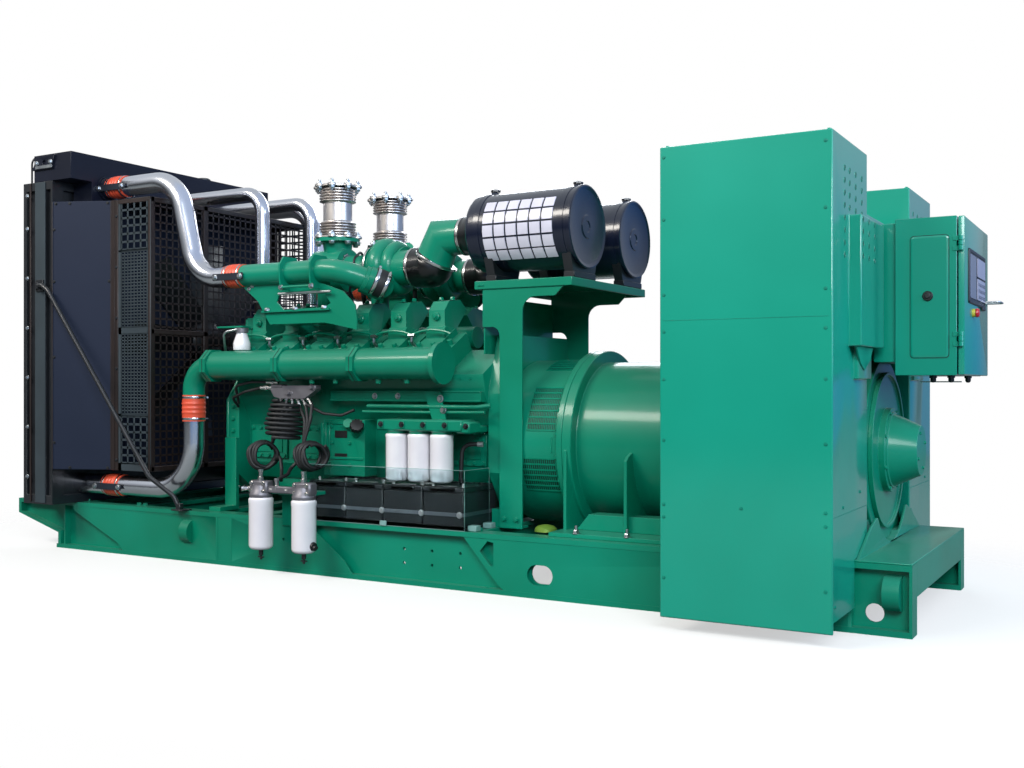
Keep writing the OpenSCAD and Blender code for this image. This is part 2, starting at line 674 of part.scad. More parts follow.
module cleaner() {
  color(dark) {
    rod_x(cleaner_x0, cleaner_x0 + 55, -cleaner_y, cleaner_z, cleaner_r - 68, cleaner_r);
    rod_x(cleaner_x0 + 55, cleaner_x1, -cleaner_y, cleaner_z, cleaner_r);
    for (x = [cleaner_x0 + 95, cleaner_x1 - 45]) {
      rod_x(x - 15, x + 15, -cleaner_y, cleaner_z, cleaner_r + 6);
      box(x - 25, x + 25, -cleaner_y - 25, -cleaner_y + 25, cleaner_z + cleaner_r - 10, cleaner_z + cleaner_r + 26);
      box(x - 30, x + 30, -cleaner_y - 120, -cleaner_y + 120, shelf_z, cleaner_z - 150);
    }
  }
}
module air_cleaners() { both() cleaner(); }

module cleaner_shelf() {
  t = 8;
  color(green) {
    box(552, 1105, -shelf_hw, shelf_hw, shelf_z - t, shelf_z);
    both() box(552, 1105, -shelf_hw, -shelf_hw + t, shelf_z - 42, shelf_z);
    for (x = [552, 1105 - t]) box(x, x + t, -shelf_hw, shelf_hw, shelf_z - 42, shelf_z);
  }
}

module stand_posts() {
  z = shelf_z - 8;
  color(green) {
    both() side_plate(-shelf_hw + 8, -shelf_hw + 16, [[582, z], [588, 1292], [688, 1204], [688, rail_h],
      [814, rail_h], [814, 1374], [877, 1436], [1000, 1440], [1040, 1485], [1040, z]]);
    box(582, 590, -shelf_hw + 16, shelf_hw - 16, 1300, 1440);
  }
}

module oil_filters() {
  color("#f2f2f2") for (k = [0:2]) rod_z(512, 757, 170 + k * 137, -580, 59);
  color(green) box(80, 600, -640, -500, 757, 829);
  color(green) box(80, 600, -500, -360, 760, 798);
}

module fuel_filters() {
  color("#f2f2f2") for (x = [-555, -300]) rod_z(135, 412, x, -800, 59);
  color(grey) {
    box(-640, -180, -830, -770, 412, 500);
    box(-600, -240, -770, -675, 430, 450);
    box(-600, -240, -675, -hy, 200, 500);
    // fuel block under the manifold
    side_plate(-602, -562, [[-670, 985], [-640, 940], [-600, 930], [-430, 930], [-400, 945], [-352, 975],
      [-352, 1000], [-650, 1000]]);
  }
  // coolant filter beside the first cylinder, hanging from its head
  color("#f2f2f2") rod_z(1195, 1300, -919, -560, 46);
  color(grey) box(-965, -880, -598, -530, 1300, 1325);
}

module batteries() {
  color("#1c1d20") for (k = [0:3]) box(-350 + k * 243, -350 + k * 243 + 238, -652, -330, rail_h + 12, 505);
  color(dark) box(-360, 626, -658, -325, rail_h, rail_h + 12);
}

module battery_screen() {
  color("#9fb4bd") box(-365, 632, -hy, -hy + 3, rail_h, 585);
}
module screen_ends() {
  color("#9fb4bd") for (x = [-365, 629]) box(x, x + 3, -hy + 3, -464, rail_h, 585);
}

// ---------------------------------------------------------- alternator

module adapter() {
  color(green) {
    rod_x(700, 1030, 0, axis_z, 425);
    rod_x(1030, barrel_x0, 0, axis_z, 470);
  }
}

module alternator() {
  color(green) {
    rod_x(barrel_x0, barrel_x1, 0, axis_z, barrel_r);
    rod_x(barrel_x0, barrel_x0 + 50, 0, axis_z, 470);
    both() {
      box(1130, 1790, -600, -330, rail_h, rail_h + 20);
      for (x = [1170, 1400, 1700]) box(x - 10, x + 10, -560, -300, rail_h, 560);
    }
  }
}

module end_cone() {
  color(green) {
    // recessed end disc inside its rim
    rod_x(barrel_x1, 2486, 0, axis_z, 352);
    difference() {
      rod_x(2486, 2498, 0, axis_z, 352);
      rod_x(2485, 2499, 0, axis_z, 338);
    }
    // flange and tapered cover of the exciter
    rod_x(2486, 2514, 0, axis_z, 190);
    rod_x(2514, 2522, 0, axis_z, 172);
    rod_x(2522, 2637, 0, axis_z, 164, 112);
  }
}

module cabinet() {
  color(green) {
    end_plate(cab_x0, cab_x1, [[-cab_y1, cab_z0], [-cab_y1 + 14, cab_z0], [-cab_y1 + 14, 100], [-hy - 8, 100],
      [-hy - 8, rail_h + deck_t], [-cab_y0, rail_h + deck_t], [-cab_y0, cab_z1], [-cab_y1, cab_z1]]);
    // raised cover over the joint to the terminal box, with its lower strip
    box(cab_x1, cab_x1 + 52, -780, -370, 1157, 1675);
    box(cab_x1, cab_x1 + 22, -700, -470, 1027, 1157);
  }
}
module cabinet_near() { cabinet(); }
module cabinet_far() { far() cabinet(); }

module terminal_box() {
  color(green) {
    box(cab_x0 + 51, cab_x1, -cab_y0, cab_y0, axis_z + barrel_r + 41, cab_z1 - 250);
    box(cab_x1, ctl_x0, -ctl_hw + 22, ctl_hw - 22, ctl_z0 + 57, ctl_z1 - 13);
  }
}

module control_box() {
  color(green) {
    box(ctl_x0, ctl_x1, -ctl_hw, ctl_hw, ctl_z0, ctl_z1);
    // fixed hinge leaves, knuckles and pins
    for (z = hinge_zs) {
      for (z1 = [z, z + 41]) {
        box(ctl_x1 - 40, hinge_x, hinge_y + 2, -ctl_hw, z1, z1 + 19);
        rod_z(z1, z1 + 19, hinge_x, hinge_y, knuckle_d / 2);
      }
      rod_z(z + 1, z + 59, hinge_x, hinge_y, hinge_pin_d / 2);
    }
  }
}

module control_door() {
  x0 = ctl_x1 + door_gap;
  color(green) difference() {
    union() {
      box(x0, x0 + door_t, -ctl_hw + 2, ctl_hw, ctl_z0 + 2, ctl_z1 - 2);
      for (z = hinge_zs) {
        box(hinge_x - 6, hinge_x + 6, hinge_y, -ctl_hw + 2, z + 20, z + 40);
        rod_z(z + 20, z + 40, hinge_x, hinge_y, knuckle_d / 2);
      }
    }
    for (z = hinge_zs) rod_z(z + 19, z + 41, hinge_x, hinge_y, hinge_pin_d / 2 + hinge_clear);
  }
  // pull handle at the free edge
  color("#17191c") {
    for (z = [handle_z - 40, handle_z + 40]) rod_x(x0 + door_t, handle_x1 - 16, ctl_hw - 52, z, 7);
    box(handle_x1 - 16, handle_x1, ctl_hw - 60, ctl_hw - 44, handle_z - 52, handle_z + 52);
  }
}

skid_rail_near();
skid_rail_far();
cross_beams();
end_deck();
radiator_core();
header_tank();
fan_shroud();
guard_near();
guard_far();
guard_front();
fan();
stays();
engine_block();
engine_feet();
cylinder_heads();
exhaust_manifold();
manifold_near();
manifold_far();
charge_tube_near();
charge_tube_far();
charge_pipe_near();
charge_pipe_far();
lower_pipe_near();
lower_pipe_far();
coolant_pipes();
turbochargers();
exhaust_bellows();
air_ducts();
air_cleaners();
cleaner_shelf();
stand_posts();
oil_filters();
fuel_filters();
batteries();
battery_screen();
screen_ends();
adapter();
alternator();
end_cone();
cabinet_near();
cabinet_far();
terminal_box();
control_box();
control_door();
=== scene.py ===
import math

import bmesh
import bpy
import numpy as np
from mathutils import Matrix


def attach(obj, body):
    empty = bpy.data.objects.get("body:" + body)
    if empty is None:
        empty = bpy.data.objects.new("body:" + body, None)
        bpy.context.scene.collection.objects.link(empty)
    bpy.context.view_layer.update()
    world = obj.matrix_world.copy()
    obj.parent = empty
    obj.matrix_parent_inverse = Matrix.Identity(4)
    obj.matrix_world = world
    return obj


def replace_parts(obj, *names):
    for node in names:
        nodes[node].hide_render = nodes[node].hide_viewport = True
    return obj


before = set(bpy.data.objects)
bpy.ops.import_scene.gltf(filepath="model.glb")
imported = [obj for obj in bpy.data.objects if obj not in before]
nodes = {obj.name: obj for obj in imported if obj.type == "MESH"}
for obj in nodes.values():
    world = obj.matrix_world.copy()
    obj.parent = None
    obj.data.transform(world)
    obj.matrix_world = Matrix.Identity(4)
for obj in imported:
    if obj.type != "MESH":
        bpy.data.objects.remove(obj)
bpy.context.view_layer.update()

# ------------------------------------------------------------------- studio
# A pale floor that fades to white away from the set, a soft key lamp to the left and above, a
# weaker one in front, a bluish one from the right and one behind. The camera sees a white backdrop;
# gloss sees a room that is bright overhead, dim along its walls and blue low on the right.
camera = bpy.data.objects.new("camera", bpy.data.cameras.new("camera"))
bpy.context.scene.collection.objects.link(camera)
camera.location = (3.58, -5.298, 1.0)
camera.rotation_euler = (math.radians(90), 0, math.radians(30.05))
camera.data.lens = 39.66
camera.data.shift_y = 1.64 / 1024
bpy.context.scene.camera = camera
bpy.context.scene.view_settings.view_transform = "Standard"


def linear(code):
    """Linear colour from an sRGB hex code: the sRGB transfer curve, channel by channel."""
    c = np.array([int(code[i : i + 2], 16) for i in (1, 3, 5)]) / 255
    return tuple(np.where(c <= 0.04045, c / 12.92, ((c + 0.055) / 1.055) ** 2.4)) + (1.0,)


def add(tree, kind, links=None, **settings):
    """Adds a node of a kind, sets its attributes and its inputs, and links inputs to outputs."""
    made = tree.nodes.new(kind)
    for key, value in settings.items():
        setattr(made, key, value)
    for key, value in (links or {}).items():
        if isinstance(value, bpy.types.NodeSocket):
            tree.links.new(value, made.inputs[key])
        else:
            made.inputs[key].default_value = value
    return made


world = bpy.data.worlds.new("backdrop")
bpy.context.scene.world = world
world.use_nodes = True
tree = world.node_tree
tree.nodes.clear()
path = add(tree, "ShaderNodeLightPath")
seen = add(tree, "ShaderNodeMath", {0: path.outputs["Is Camera Ray"], 1: path.outputs["Is Transmission Ray"]},
    operation="MAXIMUM")
way = add(tree, "ShaderNodeSeparateXYZ", {0: add(tree, "ShaderNodeTexCoord").outputs["Generated"]})
room = add(tree, "ShaderNodeMapRange",
    {"Value": way.outputs["Z"], "From Min": -0.10, "From Max": 0.50, "To Min": 0.05, "To Max": 0.85},
    interpolation_type="SMOOTHSTEP")
right = add(tree, "ShaderNodeMapRange", {"Value": way.outputs["X"], "From Min": -0.1, "From Max": 0.3},
    interpolation_type="SMOOTHSTEP")
level = add(tree, "ShaderNodeMapRange",
    {"Value": way.outputs["Z"], "From Min": 0.02, "From Max": 0.22, "To Min": 1.0, "To Max": 0.3})
blue = add(tree, "ShaderNodeMath", {0: right.outputs[0], 1: level.outputs[0]}, operation="MULTIPLY")
tint = add(tree, "ShaderNodeMix", {0: blue.outputs[0], 6: linear("#e4ebf2"), 7: linear("#5598ec")},
    data_type="RGBA")
shine = add(tree, "ShaderNodeMath", {0: blue.outputs[0], 1: 0.58, 2: room.outputs[0]}, operation="MULTIPLY_ADD")
ambient = add(tree, "ShaderNodeBackground", {"Color": linear("#dfeaf6"), "Strength": 0.38})
walls = add(tree, "ShaderNodeBackground", {"Color": tint.outputs[2], "Strength": shine.outputs[0]})
white = add(tree, "ShaderNodeBackground", {"Color": (1, 1, 1, 1), "Strength": 1.0})
unseen = add(tree, "ShaderNodeMixShader",
    {0: path.outputs["Is Glossy Ray"], 1: ambient.outputs[0], 2: walls.outputs[0]})
backdrop = add(tree, "ShaderNodeMixShader", {0: seen.outputs[0], 1: unseen.outputs[0], 2: white.outputs[0]})
add(tree, "ShaderNodeOutputWorld", {"Surface": backdrop.outputs[0]})

for name, place, aim, size, power, tint in (
    ("key_lamp", (-3.4, -7.4, 7.0), (0.2, 0.0, 1.0), (5.5, 2.0), 740, "#fff8ee"),
    ("front_lamp", (5.6, -7.0, 4.6), (1.6, 0.0, 1.0), (5.0, 2.4), 620, "#f4fbff"),
    ("side_lamp", (8.8, -0.6, 3.2), (1.5, 0.0, 1.0), (4.4, 4.4), 330, "#c4ddff"),
    ("back_lamp", (-3.0, 8.5, 5.5), (0.0, 0.0, 1.0), (6.0, 3.0), 420, "#f4f8ff"),
):
    lamp = bpy.data.objects.new(name, bpy.data.lights.new(name, "AREA"))
    bpy.context.scene.collection.objects.link(lamp)
    lamp.location = place
    way = np.array(aim) - np.array(place)
    lamp.rotation_euler = (math.acos(-way[2] / np.linalg.norm(way)), 0, math.atan2(way[1], way[0]) - math.pi / 2)
    lamp.data.shape = "RECTANGLE"
    lamp.data.size, lamp.data.size_y = size
    lamp.data.energy = power
    lamp.data.color = linear(tint)[:3]

floor = bpy.data.meshes.new("floor")
floor.from_pydata([(-12, -12, 0), (12, -12, 0), (12, 12, 0), (-12, 12, 0)], [], [(0, 1, 2, 3)])
floor = bpy.data.objects.new("floor", floor)
bpy.context.scene.collection.objects.link(floor)
# Matt white studio vinyl: no gloss, and it throws back less light than it shows. To the camera it
# turns clear away from the skid, so that it has no visible edge and keeps only a soft shadow.
vinyl = bpy.data.materials.new("studio_vinyl")
vinyl.use_nodes = True
tree = vinyl.node_tree
shader = tree.nodes["Principled BSDF"]
shader.inputs["Roughness"].default_value = 0.9
rays = add(tree, "ShaderNodeLightPath")
eye = rays.outputs["Is Camera Ray"]
thrown = add(tree, "ShaderNodeMix",
    {0: rays.outputs["Is Glossy Ray"], 6: linear("#3c4141"), 7: linear("#838989")}, data_type="RGBA")
pale = add(tree, "ShaderNodeMix", {0: eye, 6: thrown.outputs[2], 7: linear("#fdfdfd")}, data_type="RGBA")
tree.links.new(pale.outputs[2], shader.inputs["Base Color"])
where = add(tree, "ShaderNodeTexCoord").outputs["Object"]
spread = add(tree, "ShaderNodeVectorMath", {0: where, 1: (0.62, 1.0, 1.0)}, operation="MULTIPLY")
far = add(tree, "ShaderNodeVectorMath", {0: spread.outputs[0]}, operation="LENGTH")
fade = add(tree, "ShaderNodeMapRange",
    {"Value": far.outputs["Value"], "From Min": 1.6, "From Max": 3.2, "To Min": 0.55},
    interpolation_type="SMOOTHSTEP")
gone = add(tree, "ShaderNodeMath", {0: fade.outputs[0], 1: eye}, operation="MULTIPLY")
clear = add(tree, "ShaderNodeBsdfTransparent")
sheet = add(tree, "ShaderNodeMixShader", {0: gone.outputs[0], 1: shader.outputs[0], 2: clear.outputs[0]})
tree.links.new(sheet.outputs[0], tree.nodes["Material Output"].inputs["Surface"])
floor.data.materials.append(vinyl)

# --------------------------------------------------------------------- skid
# Two welded I-section rails with let-in cover plates, cross beams and the deck plate at the
# alternator end: hot-rolled steel, shot-blasted and sprayed with the set's green enamel.


def coat(name, colour, shade, rough, metallic=0.0, gloss=0.0, spec=0.5, drift=0.1, grain=0.002, depth=0.0002,
        dent=0.0, dust=0.0, smear=(1, 1, 1)):
    """A finish: the colour drifts to a shade over a length in metres, the gloss drifts with it, and a
    grain of a real size in metres, stretched by smear, stands out by a depth; dust pales what faces up."""
    made = bpy.data.materials.new(name)
    made.use_nodes = True
    tree = made.node_tree
    shader = tree.nodes["Principled BSDF"]
    where = add(tree, "ShaderNodeTexCoord").outputs["Object"]
    cloud = add(tree, "ShaderNodeTexNoise", {"Vector": where, "Scale": 1 / drift, "Detail": 3.0, "Roughness": 0.6})
    part = add(tree, "ShaderNodeMapRange", {"Value": cloud.outputs["Fac"], "From Min": 0.3, "From Max": 0.7})
    tone = add(tree, "ShaderNodeMix", {0: part.outputs[0], 6: linear(shade), 7: linear(colour)}, data_type="RGBA")
    up = add(tree, "ShaderNodeSeparateXYZ", {0: add(tree, "ShaderNodeNewGeometry").outputs["Normal"]})
    settled = add(tree, "ShaderNodeMapRange",
        {"Value": up.outputs["Z"], "From Min": 0.3, "From Max": 1.0, "To Max": dust})
    pale = add(tree, "ShaderNodeMix", {0: settled.outputs[0], 6: tone.outputs[2], 7: linear("#b9bdb8")},
        data_type="RGBA")
    tree.links.new(pale.outputs[2], shader.inputs["Base Color"])
    dull = add(tree, "ShaderNodeMapRange",
        {"Value": cloud.outputs["Fac"], "To Min": rough * 0.8, "To Max": rough * 1.25})
    tree.links.new(dull.outputs[0], shader.inputs["Roughness"])
    drawn = add(tree, "ShaderNodeMapping", {"Vector": where, "Scale": smear})
    fine = add(tree, "ShaderNodeTexNoise", {"Vector": drawn.outputs[0], "Scale": 1 / grain, "Detail": 2.0})
    broad = add(tree, "ShaderNodeTexNoise", {"Vector": where, "Scale": 5.0, "Detail": 1.0})
    skin = add(tree, "ShaderNodeBump", {"Height": fine.outputs["Fac"], "Distance": depth})
    if dent:
        skin = add(tree, "ShaderNodeBump",
            {"Height": broad.outputs["Fac"], "Distance": dent, "Normal": skin.outputs[0]})
    tree.links.new(skin.outputs[0], shader.inputs["Normal"])
    shader.inputs["Metallic"].default_value = metallic
    shader.inputs["Specular IOR Level"].default_value = spec
    shader.inputs["Coat Weight"].default_value = gloss
    shader.inputs["Coat Roughness"].default_value = 0.13
    return made


# Alkyd machine enamel, sprayed: a deep blue-green with orange peel of about 3 mm in its gloss.
green_enamel = coat("sprayed_green_enamel", "#03856b", "#037458", 0.36, gloss=0.3, spec=0.2, drift=0.9,
    grain=0.004, depth=0.0003, dent=0.002, dust=0.05)


def show(name, part, finish, stands_for=(), body="set", crease=38, slot=None):
    """One finished piece: points and faces go into a mesh, edges sharper than crease stay sharp, and
    it rides on a body and stands for the CAD nodes named."""
    points, faces = part
    mesh = bpy.data.meshes.new(name)
    count = np.concatenate([np.full(len(f), f.shape[1]) for f in faces])
    corner = np.concatenate([f.ravel() for f in faces])
    mesh.vertices.add(len(points))
    mesh.vertices.foreach_set("co", np.ascontiguousarray(points, dtype=np.float32).ravel())
    mesh.loops.add(len(corner))
    mesh.loops.foreach_set("vertex_index", corner.astype(np.int32))
    mesh.polygons.add(len(count))
    mesh.polygons.foreach_set("loop_start", np.concatenate([[0], np.cumsum(count)[:-1]]).astype(np.int32))
    mesh.polygons.foreach_set("use_smooth", np.ones(len(count), dtype=bool))
    mesh.update(calc_edges=True)
    mesh.validate()
    mesh.set_sharp_from_angle(angle=math.radians(crease))
    mesh.materials.append(finish)
    made = bpy.data.objects.new(name, mesh)
    bpy.context.scene.collection.objects.link(made)
    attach(made, body)
    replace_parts(made, *stands_for) if stands_for else None
    made if slot else None
    return made


def softened(name, edge, finish, slot=None):
    """A CAD node's own surfaces with its corners rounded by an edge radius: a merged copy with a
    Bevel on every edge sharper than 30 degrees."""
    sharp = math.radians(30)
    mesh = nodes[name].data.copy()
    work = bmesh.new()
    work.from_mesh(mesh)
    bmesh.ops.remove_doubles(work, verts=work.verts, dist=1e-6)
    bmesh.ops.dissolve_limit(work, angle_limit=math.radians(0.4), verts=work.verts, edges=work.edges)
    work.to_mesh(mesh)
    work.free()
    mesh.materials.clear()
    mesh.materials.append(finish)
    mesh.polygons.foreach_set("use_smooth", np.ones(len(mesh.polygons), dtype=bool))
    made = bpy.data.objects.new(name + "_skin", mesh)
    bpy.context.scene.collection.objects.link(made)
    if edge:
        worn = made.modifiers.new("edge", "BEVEL")
        worn.width = edge
        worn.segments = 2
        worn.limit_method = "ANGLE"
        worn.angle_limit = sharp
        worn.harden_normals = False
    mesh.set_sharp_from_angle(angle=sharp)
    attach(made, "set")
    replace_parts(made, name)
    made if slot else None
    return made


def facing(part):
    """The part with its faces outwards: where the volume under fans of its faces is below nought
    they are all turned round."""
    points, faces = part
    volume = 0.0
    for f in faces:
        p = points[f]
        volume += np.einsum("ij,ikj->", p[:, 0], np.cross(p[:, 1:-1], p[:, 2:]))
    return part if volume > 0 else (points, [f[:, ::-1] for f in faces])


def joined(*parts):
    """Several parts as one."""
    starts = np.cumsum([0] + [len(p) for p, _ in parts])
    return np.concatenate([p for p, _ in parts]), [f + s for (_, faces), s in zip(parts, starts) for f in faces]


def points_at(x, y, z):
    """Points from their x, y and z, each of them one number or many."""
    return np.stack(np.broadcast_arrays(x, y, z), -1)


def circle(x, centre, radius, degrees):
    """Places on a circle square to X: y = cy + r cos(a) and z = cz + r sin(a) for each angle."""
    a = np.radians(degrees)
    return points_at(x, centre[0] + radius * np.cos(a), centre[1] + radius * np.sin(a))


def spun(turn):
    """Matrices that turn about X, one for each angle in radians."""
    spin = np.zeros((len(turn), 3, 3))
    spin[:, 0, 0] = 1
    spin[:, 1, 1] = spin[:, 2, 2] = np.cos(turn)
    spin[:, 2, 1] = np.sin(turn)
    spin[:, 1, 2] = -np.sin(turn)
    return spin


def copies(part, places, turns=None):
    """The part once at each place, turned there by the matrix of the same row."""
    points, faces = part
    places = np.asarray(places, float)
    rows = np.broadcast_to(points, (len(places), *points.shape)) if turns is None else np.einsum("nij,pj->npi",
        turns, points)
    shift = len(points) * np.arange(len(places))[:, None, None]
    return (rows + places[:, None]).reshape(-1, 3), [(f + shift).reshape(-1, f.shape[1]) for f in faces]


def skin(grid):
    """The quads of an m by n grid of points, its last column joined to the first, its end rows capped."""
    m, n = grid.shape[:2]
    i = np.arange(m - 1)[:, None]
    j = np.arange(n)[None]
    k = (j + 1) % n
    quads = np.stack([i * n + j, i * n + k, (i + 1) * n + k, (i + 1) * n + j], -1).reshape(-1, 4)
    return facing((grid.reshape(-1, 3), [quads, j[:, ::-1], (m - 1) * n + j]))


def blocks(low, high, edge):
    """Boxes between opposite corners with their edges cut at 45 degrees: each corner gives three
    points, each drawn back by the edge along two axes."""
    low, high = np.broadcast_arrays(np.atleast_2d(np.asarray(low, float)), np.atleast_2d(np.asarray(high, float)))
    low, high = np.minimum(low, high), np.maximum(low, high)
    mid, half = (low + high) / 2, (high - low) / 2
    edge = np.minimum(edge, 0.4 * half.min(axis=1))[:, None, None, None]
    side = np.array([[x, y, z] for x in (-1, 1) for y in (-1, 1) for z in (-1, 1)])
    back = 1 - np.eye(3)
    points = mid[:, None, None] + side[None, :, None] * (half[:, None, None] - edge * back[None, None])
    c = lambda s, a: 3 * (4 * (s[0] > 0) + 2 * (s[1] > 0) + (s[2] > 0)) + a
    quads, tris = [], [[c(s, 0), c(s, 1), c(s, 2)] if s.prod() > 0 else [c(s, 2), c(s, 1), c(s, 0)] for s in side]
    for a in range(3):
        b, d = (a + 1) % 3, (a + 2) % 3
        for u in (-1, 1):
            s = np.zeros((4, 3), int)
            s[:, a] = u
            s[:, b], s[:, d] = (-1, 1, 1, -1), (-1, -1, 1, 1)
            flat = [c(t, a) for t in s]
            quads.append(flat if u > 0 else flat[::-1])
            for v in (-1, 1):
                s = np.zeros((2, 3), int)
                s[:, b], s[:, d], s[:, a] = u, v, (-1, 1)
                strip = [c(s[0], b), c(s[1], b), c(s[1], d), c(s[0], d)]
                quads.append(strip if u * v < 0 else strip[::-1])
    shift = 24 * np.arange(len(mid))[:, None, None]
    faces = [(np.array(f)[None] + shift).reshape(-1, len(f[0])) for f in (quads, tris)]
    return points.reshape(-1, 3), faces


def frame_of(along, lie=(0.0, 0.0, 1.0)):
    """Three unit vectors as rows: across, across again, and along; the first is square to lie."""
    w = np.asarray(along, float) / np.linalg.norm(along)
    lie = np.asarray(lie, float)
    lie = np.array([1.0, 0, 0]) if abs(w @ lie) > 0.95 * np.linalg.norm(lie) else lie
    u = np.cross(lie, w)
    u /= np.linalg.norm(u)
    return np.stack([u, np.cross(w, u), w])


def turned(profile, at=(0, 0, 0), along=(0, 0, 1), sides=32, start=0.0):
    """A profile of (distance along, radius) turned about an axis through at."""
    t = start + 2 * np.pi * np.arange(sides) / sides
    d, r = np.asarray(profile, float).T
    u, v, w = frame_of(along)
    round_ = np.cos(t)[:, None] * u + np.sin(t)[:, None] * v
    return skin(np.asarray(at, float) + d[:, None, None] * w + r[:, None, None] * round_)


def sweep(path, radius, sides, lie=(0.0, 0.0, 1.0)):
    """A round bar along a path: circles square to it, their first diameter square to lie."""
    p = np.asarray(path, float)
    w = np.gradient(p, axis=0)
    w /= np.linalg.norm(w, axis=1)[:, None]
    u = np.cross(np.broadcast_to(lie, p.shape), w)
    u /= np.linalg.norm(u, axis=1)[:, None]
    t = 2 * np.pi * np.arange(sides) / sides
    r = np.broadcast_to(radius, len(p))[:, None, None]
    c, s = np.cos(t)[:, None], np.sin(t)[:, None]
    return skin(p[:, None] + r * (c * u[:, None] + s * np.cross(w, u)[:, None]))


def route(corners, bend, steps=9):
    """A line through corners, each inner one rounded by an arc that touches both of its legs."""
    c = np.asarray(corners, float)
    bend = np.broadcast_to(bend, len(c) - 2)
    out = [c[:1]]
    for a, b, d, r in zip(c, c[1:], c[2:], bend):
        u, v = (a - b) / np.linalg.norm(a - b), (d - b) / np.linalg.norm(d - b)
        half = (np.pi - np.arccos(np.clip(u @ v, -1, 1))) / 2
        centre = b + (u + v) / np.linalg.norm(u + v) * r / np.cos(half)
        t = np.linspace(0, 2 * half, steps)[:, None]
        out.append(centre + r * (np.cos(t) * (b + u * r * np.tan(half) - centre) / r - np.sin(t) * u))
    return np.concatenate(out + [c[-1:]])


def hexes(places, along, across, high):
    """Hexagon bolt heads with rounded tops and a washer each, standing along a direction."""
    r = across / math.sqrt(3)
    washer = turned([(0, 1.3 * r), (0.12 * high, 1.3 * r)], sides=18)
    head = joined(washer, turned([(0, r), (0.75 * high, r), (high, 0.82 * r)], sides=6))
    m = frame_of(along).T
    return copies(head, places, np.broadcast_to(m, (len(places), 3, 3)))


for name in ("skid_rail_near", "skid_rail_far", "cross_beams", "end_deck"):
    softened(name, 0.003, green_enamel, slot="green_enamel")

# Bolts that hold the cross beams, the alternator's feet and the deck: zinc-plated hexagon heads,
# painted over with the skid.
x = np.array([-2.2, -1.7, -1.11, 0.64, 1.2, 1.75])
row = points_at((x[:, None] + (-0.025, 0.025)).ravel(), -0.575, 0.288)
row = np.concatenate([row, row * (1, -1, 1)])
show("rail_bolts", hexes(row, (0, 0, 1), 0.024, 0.014), green_enamel, slot="green_enamel")
foot = np.array([(x, y, 0.308) for x in (1.20, 1.46, 1.74) for y in (-0.585, 0.585)])
stud = joined(hexes(foot, (0, 0, 1), 0.027, 0.018),
    *[turned([(0, 0.008), (0.036, 0.008), (0.038, 0.006)], p, (0, 0, 1), 12) for p in foot])
# Zinc-plated steel: pale, a little blue, and dull beside chrome.
zinc = coat("zinc_plated_steel", "#c2c6c8", "#a4a8ab", 0.32, metallic=1.0, drift=0.05, depth=0.0001)
show("alternator_foot_bolts", stud, zinc)

# ----------------------------------------------------------------- radiator
# A pressed-steel frame round the finned core, with channel posts at its corners and the header
# tank on top: mild steel, phosphated and sprayed satin black.
# Satin black enamel: near black, with a soft highlight along its folds.
black_enamel = coat("satin_black_enamel", "#1a1d22", "#121418", 0.38, gloss=0.1, drift=0.5, grain=0.003, dust=0.05)
softened("radiator_core", 0.003, black_enamel, slot="dark_enamel")
# Grey-blue powder coat on the edge strips and the guard's meshes: matt, with a fine egg-shell grain.
grey_coat = coat("grey_powder_coat", "#3a454c", "#30393f", 0.5, spec=0.3, drift=0.4, grain=0.0015, dust=0.05)
# Red oxide primer with a thin dark coat over it: the posts show brown where the light catches them.
oxide_coat = coat("dark_oxide_enamel", "#261815", "#1a1211", 0.45, gloss=0.05, drift=0.3)
# The two sides of the set by name and by sign: near is -Y and far is +Y.
both_sides = (("near", -1), ("far", 1))
for side, s in both_sides:
    strip = blocks([(-2.316, s * 0.8455, 0.296), (-2.432, s * 0.80, 0.30)],
        [(-2.225, s * 0.8505, 2.222), (-2.4285, s * 0.83, 2.22)], 0.0015)
    show("core_edge_strip_" + side, strip, grey_coat, slot="dark_enamel")
    show("core_seam_" + side, blocks([(-2.365, s * 0.8455, 0.30)], [(-2.352, s * 0.852, 2.222)], 0.002),
        oxide_coat)
    z = np.array([0.45, 0.75, 1.05, 1.35, 1.65, 1.95, 2.15])
    places = points_at(-2.392, s * 0.845, z)
    show("core_side_bolts_" + side, hexes(places, (0, s, 0), 0.018, 0.010), zinc)
# The finned face at the radiator end: rows of folded fins between flat tubes, seen as close
# upright lines behind the frame.
y = np.arange(-0.735, 0.7351, 0.014)
fins = blocks(points_at(-2.4140, y - 0.003, 0.36), points_at(-2.409, y + 0.003, 2.165), 0.001)
# Painted fin metal: dull dark grey, so that the fins read as fine lines.
fin_metal = coat("painted_fin_metal", "#2b2f34", "#202328", 0.5, drift=0.2)
show("core_fins", fins, fin_metal, slot="dark_enamel")

# -------------------------------------------------------------- header tank
# Folded and welded from 4 mm sheet, satin dark blue-black, with a lifting bracket at each end, a
# filler neck and the hose and pipe stubs that leave it over the guard.
# Navy enamel: almost black, and blue only where the light falls along it.
navy_enamel = coat("navy_sprayed_enamel", "#131828", "#0e1220", 0.42, gloss=0.1, spec=0.2, drift=0.5,
    grain=0.003, dust=0.08)
softened("header_tank", 0.004, navy_enamel, slot="dark_enamel")
cap = turned([(0, 0.040), (0.012, 0.040), (0.014, 0.046), (0.034, 0.046), (0.040, 0.040)],
    (-2.165, 0.38, 2.388), sides=24)
ears = blocks([(-2.225, 0.372, 2.40)], [(-2.105, 0.388, 2.418)], 0.003)
show("tank_filler_cap", joined(cap, ears), black_enamel)
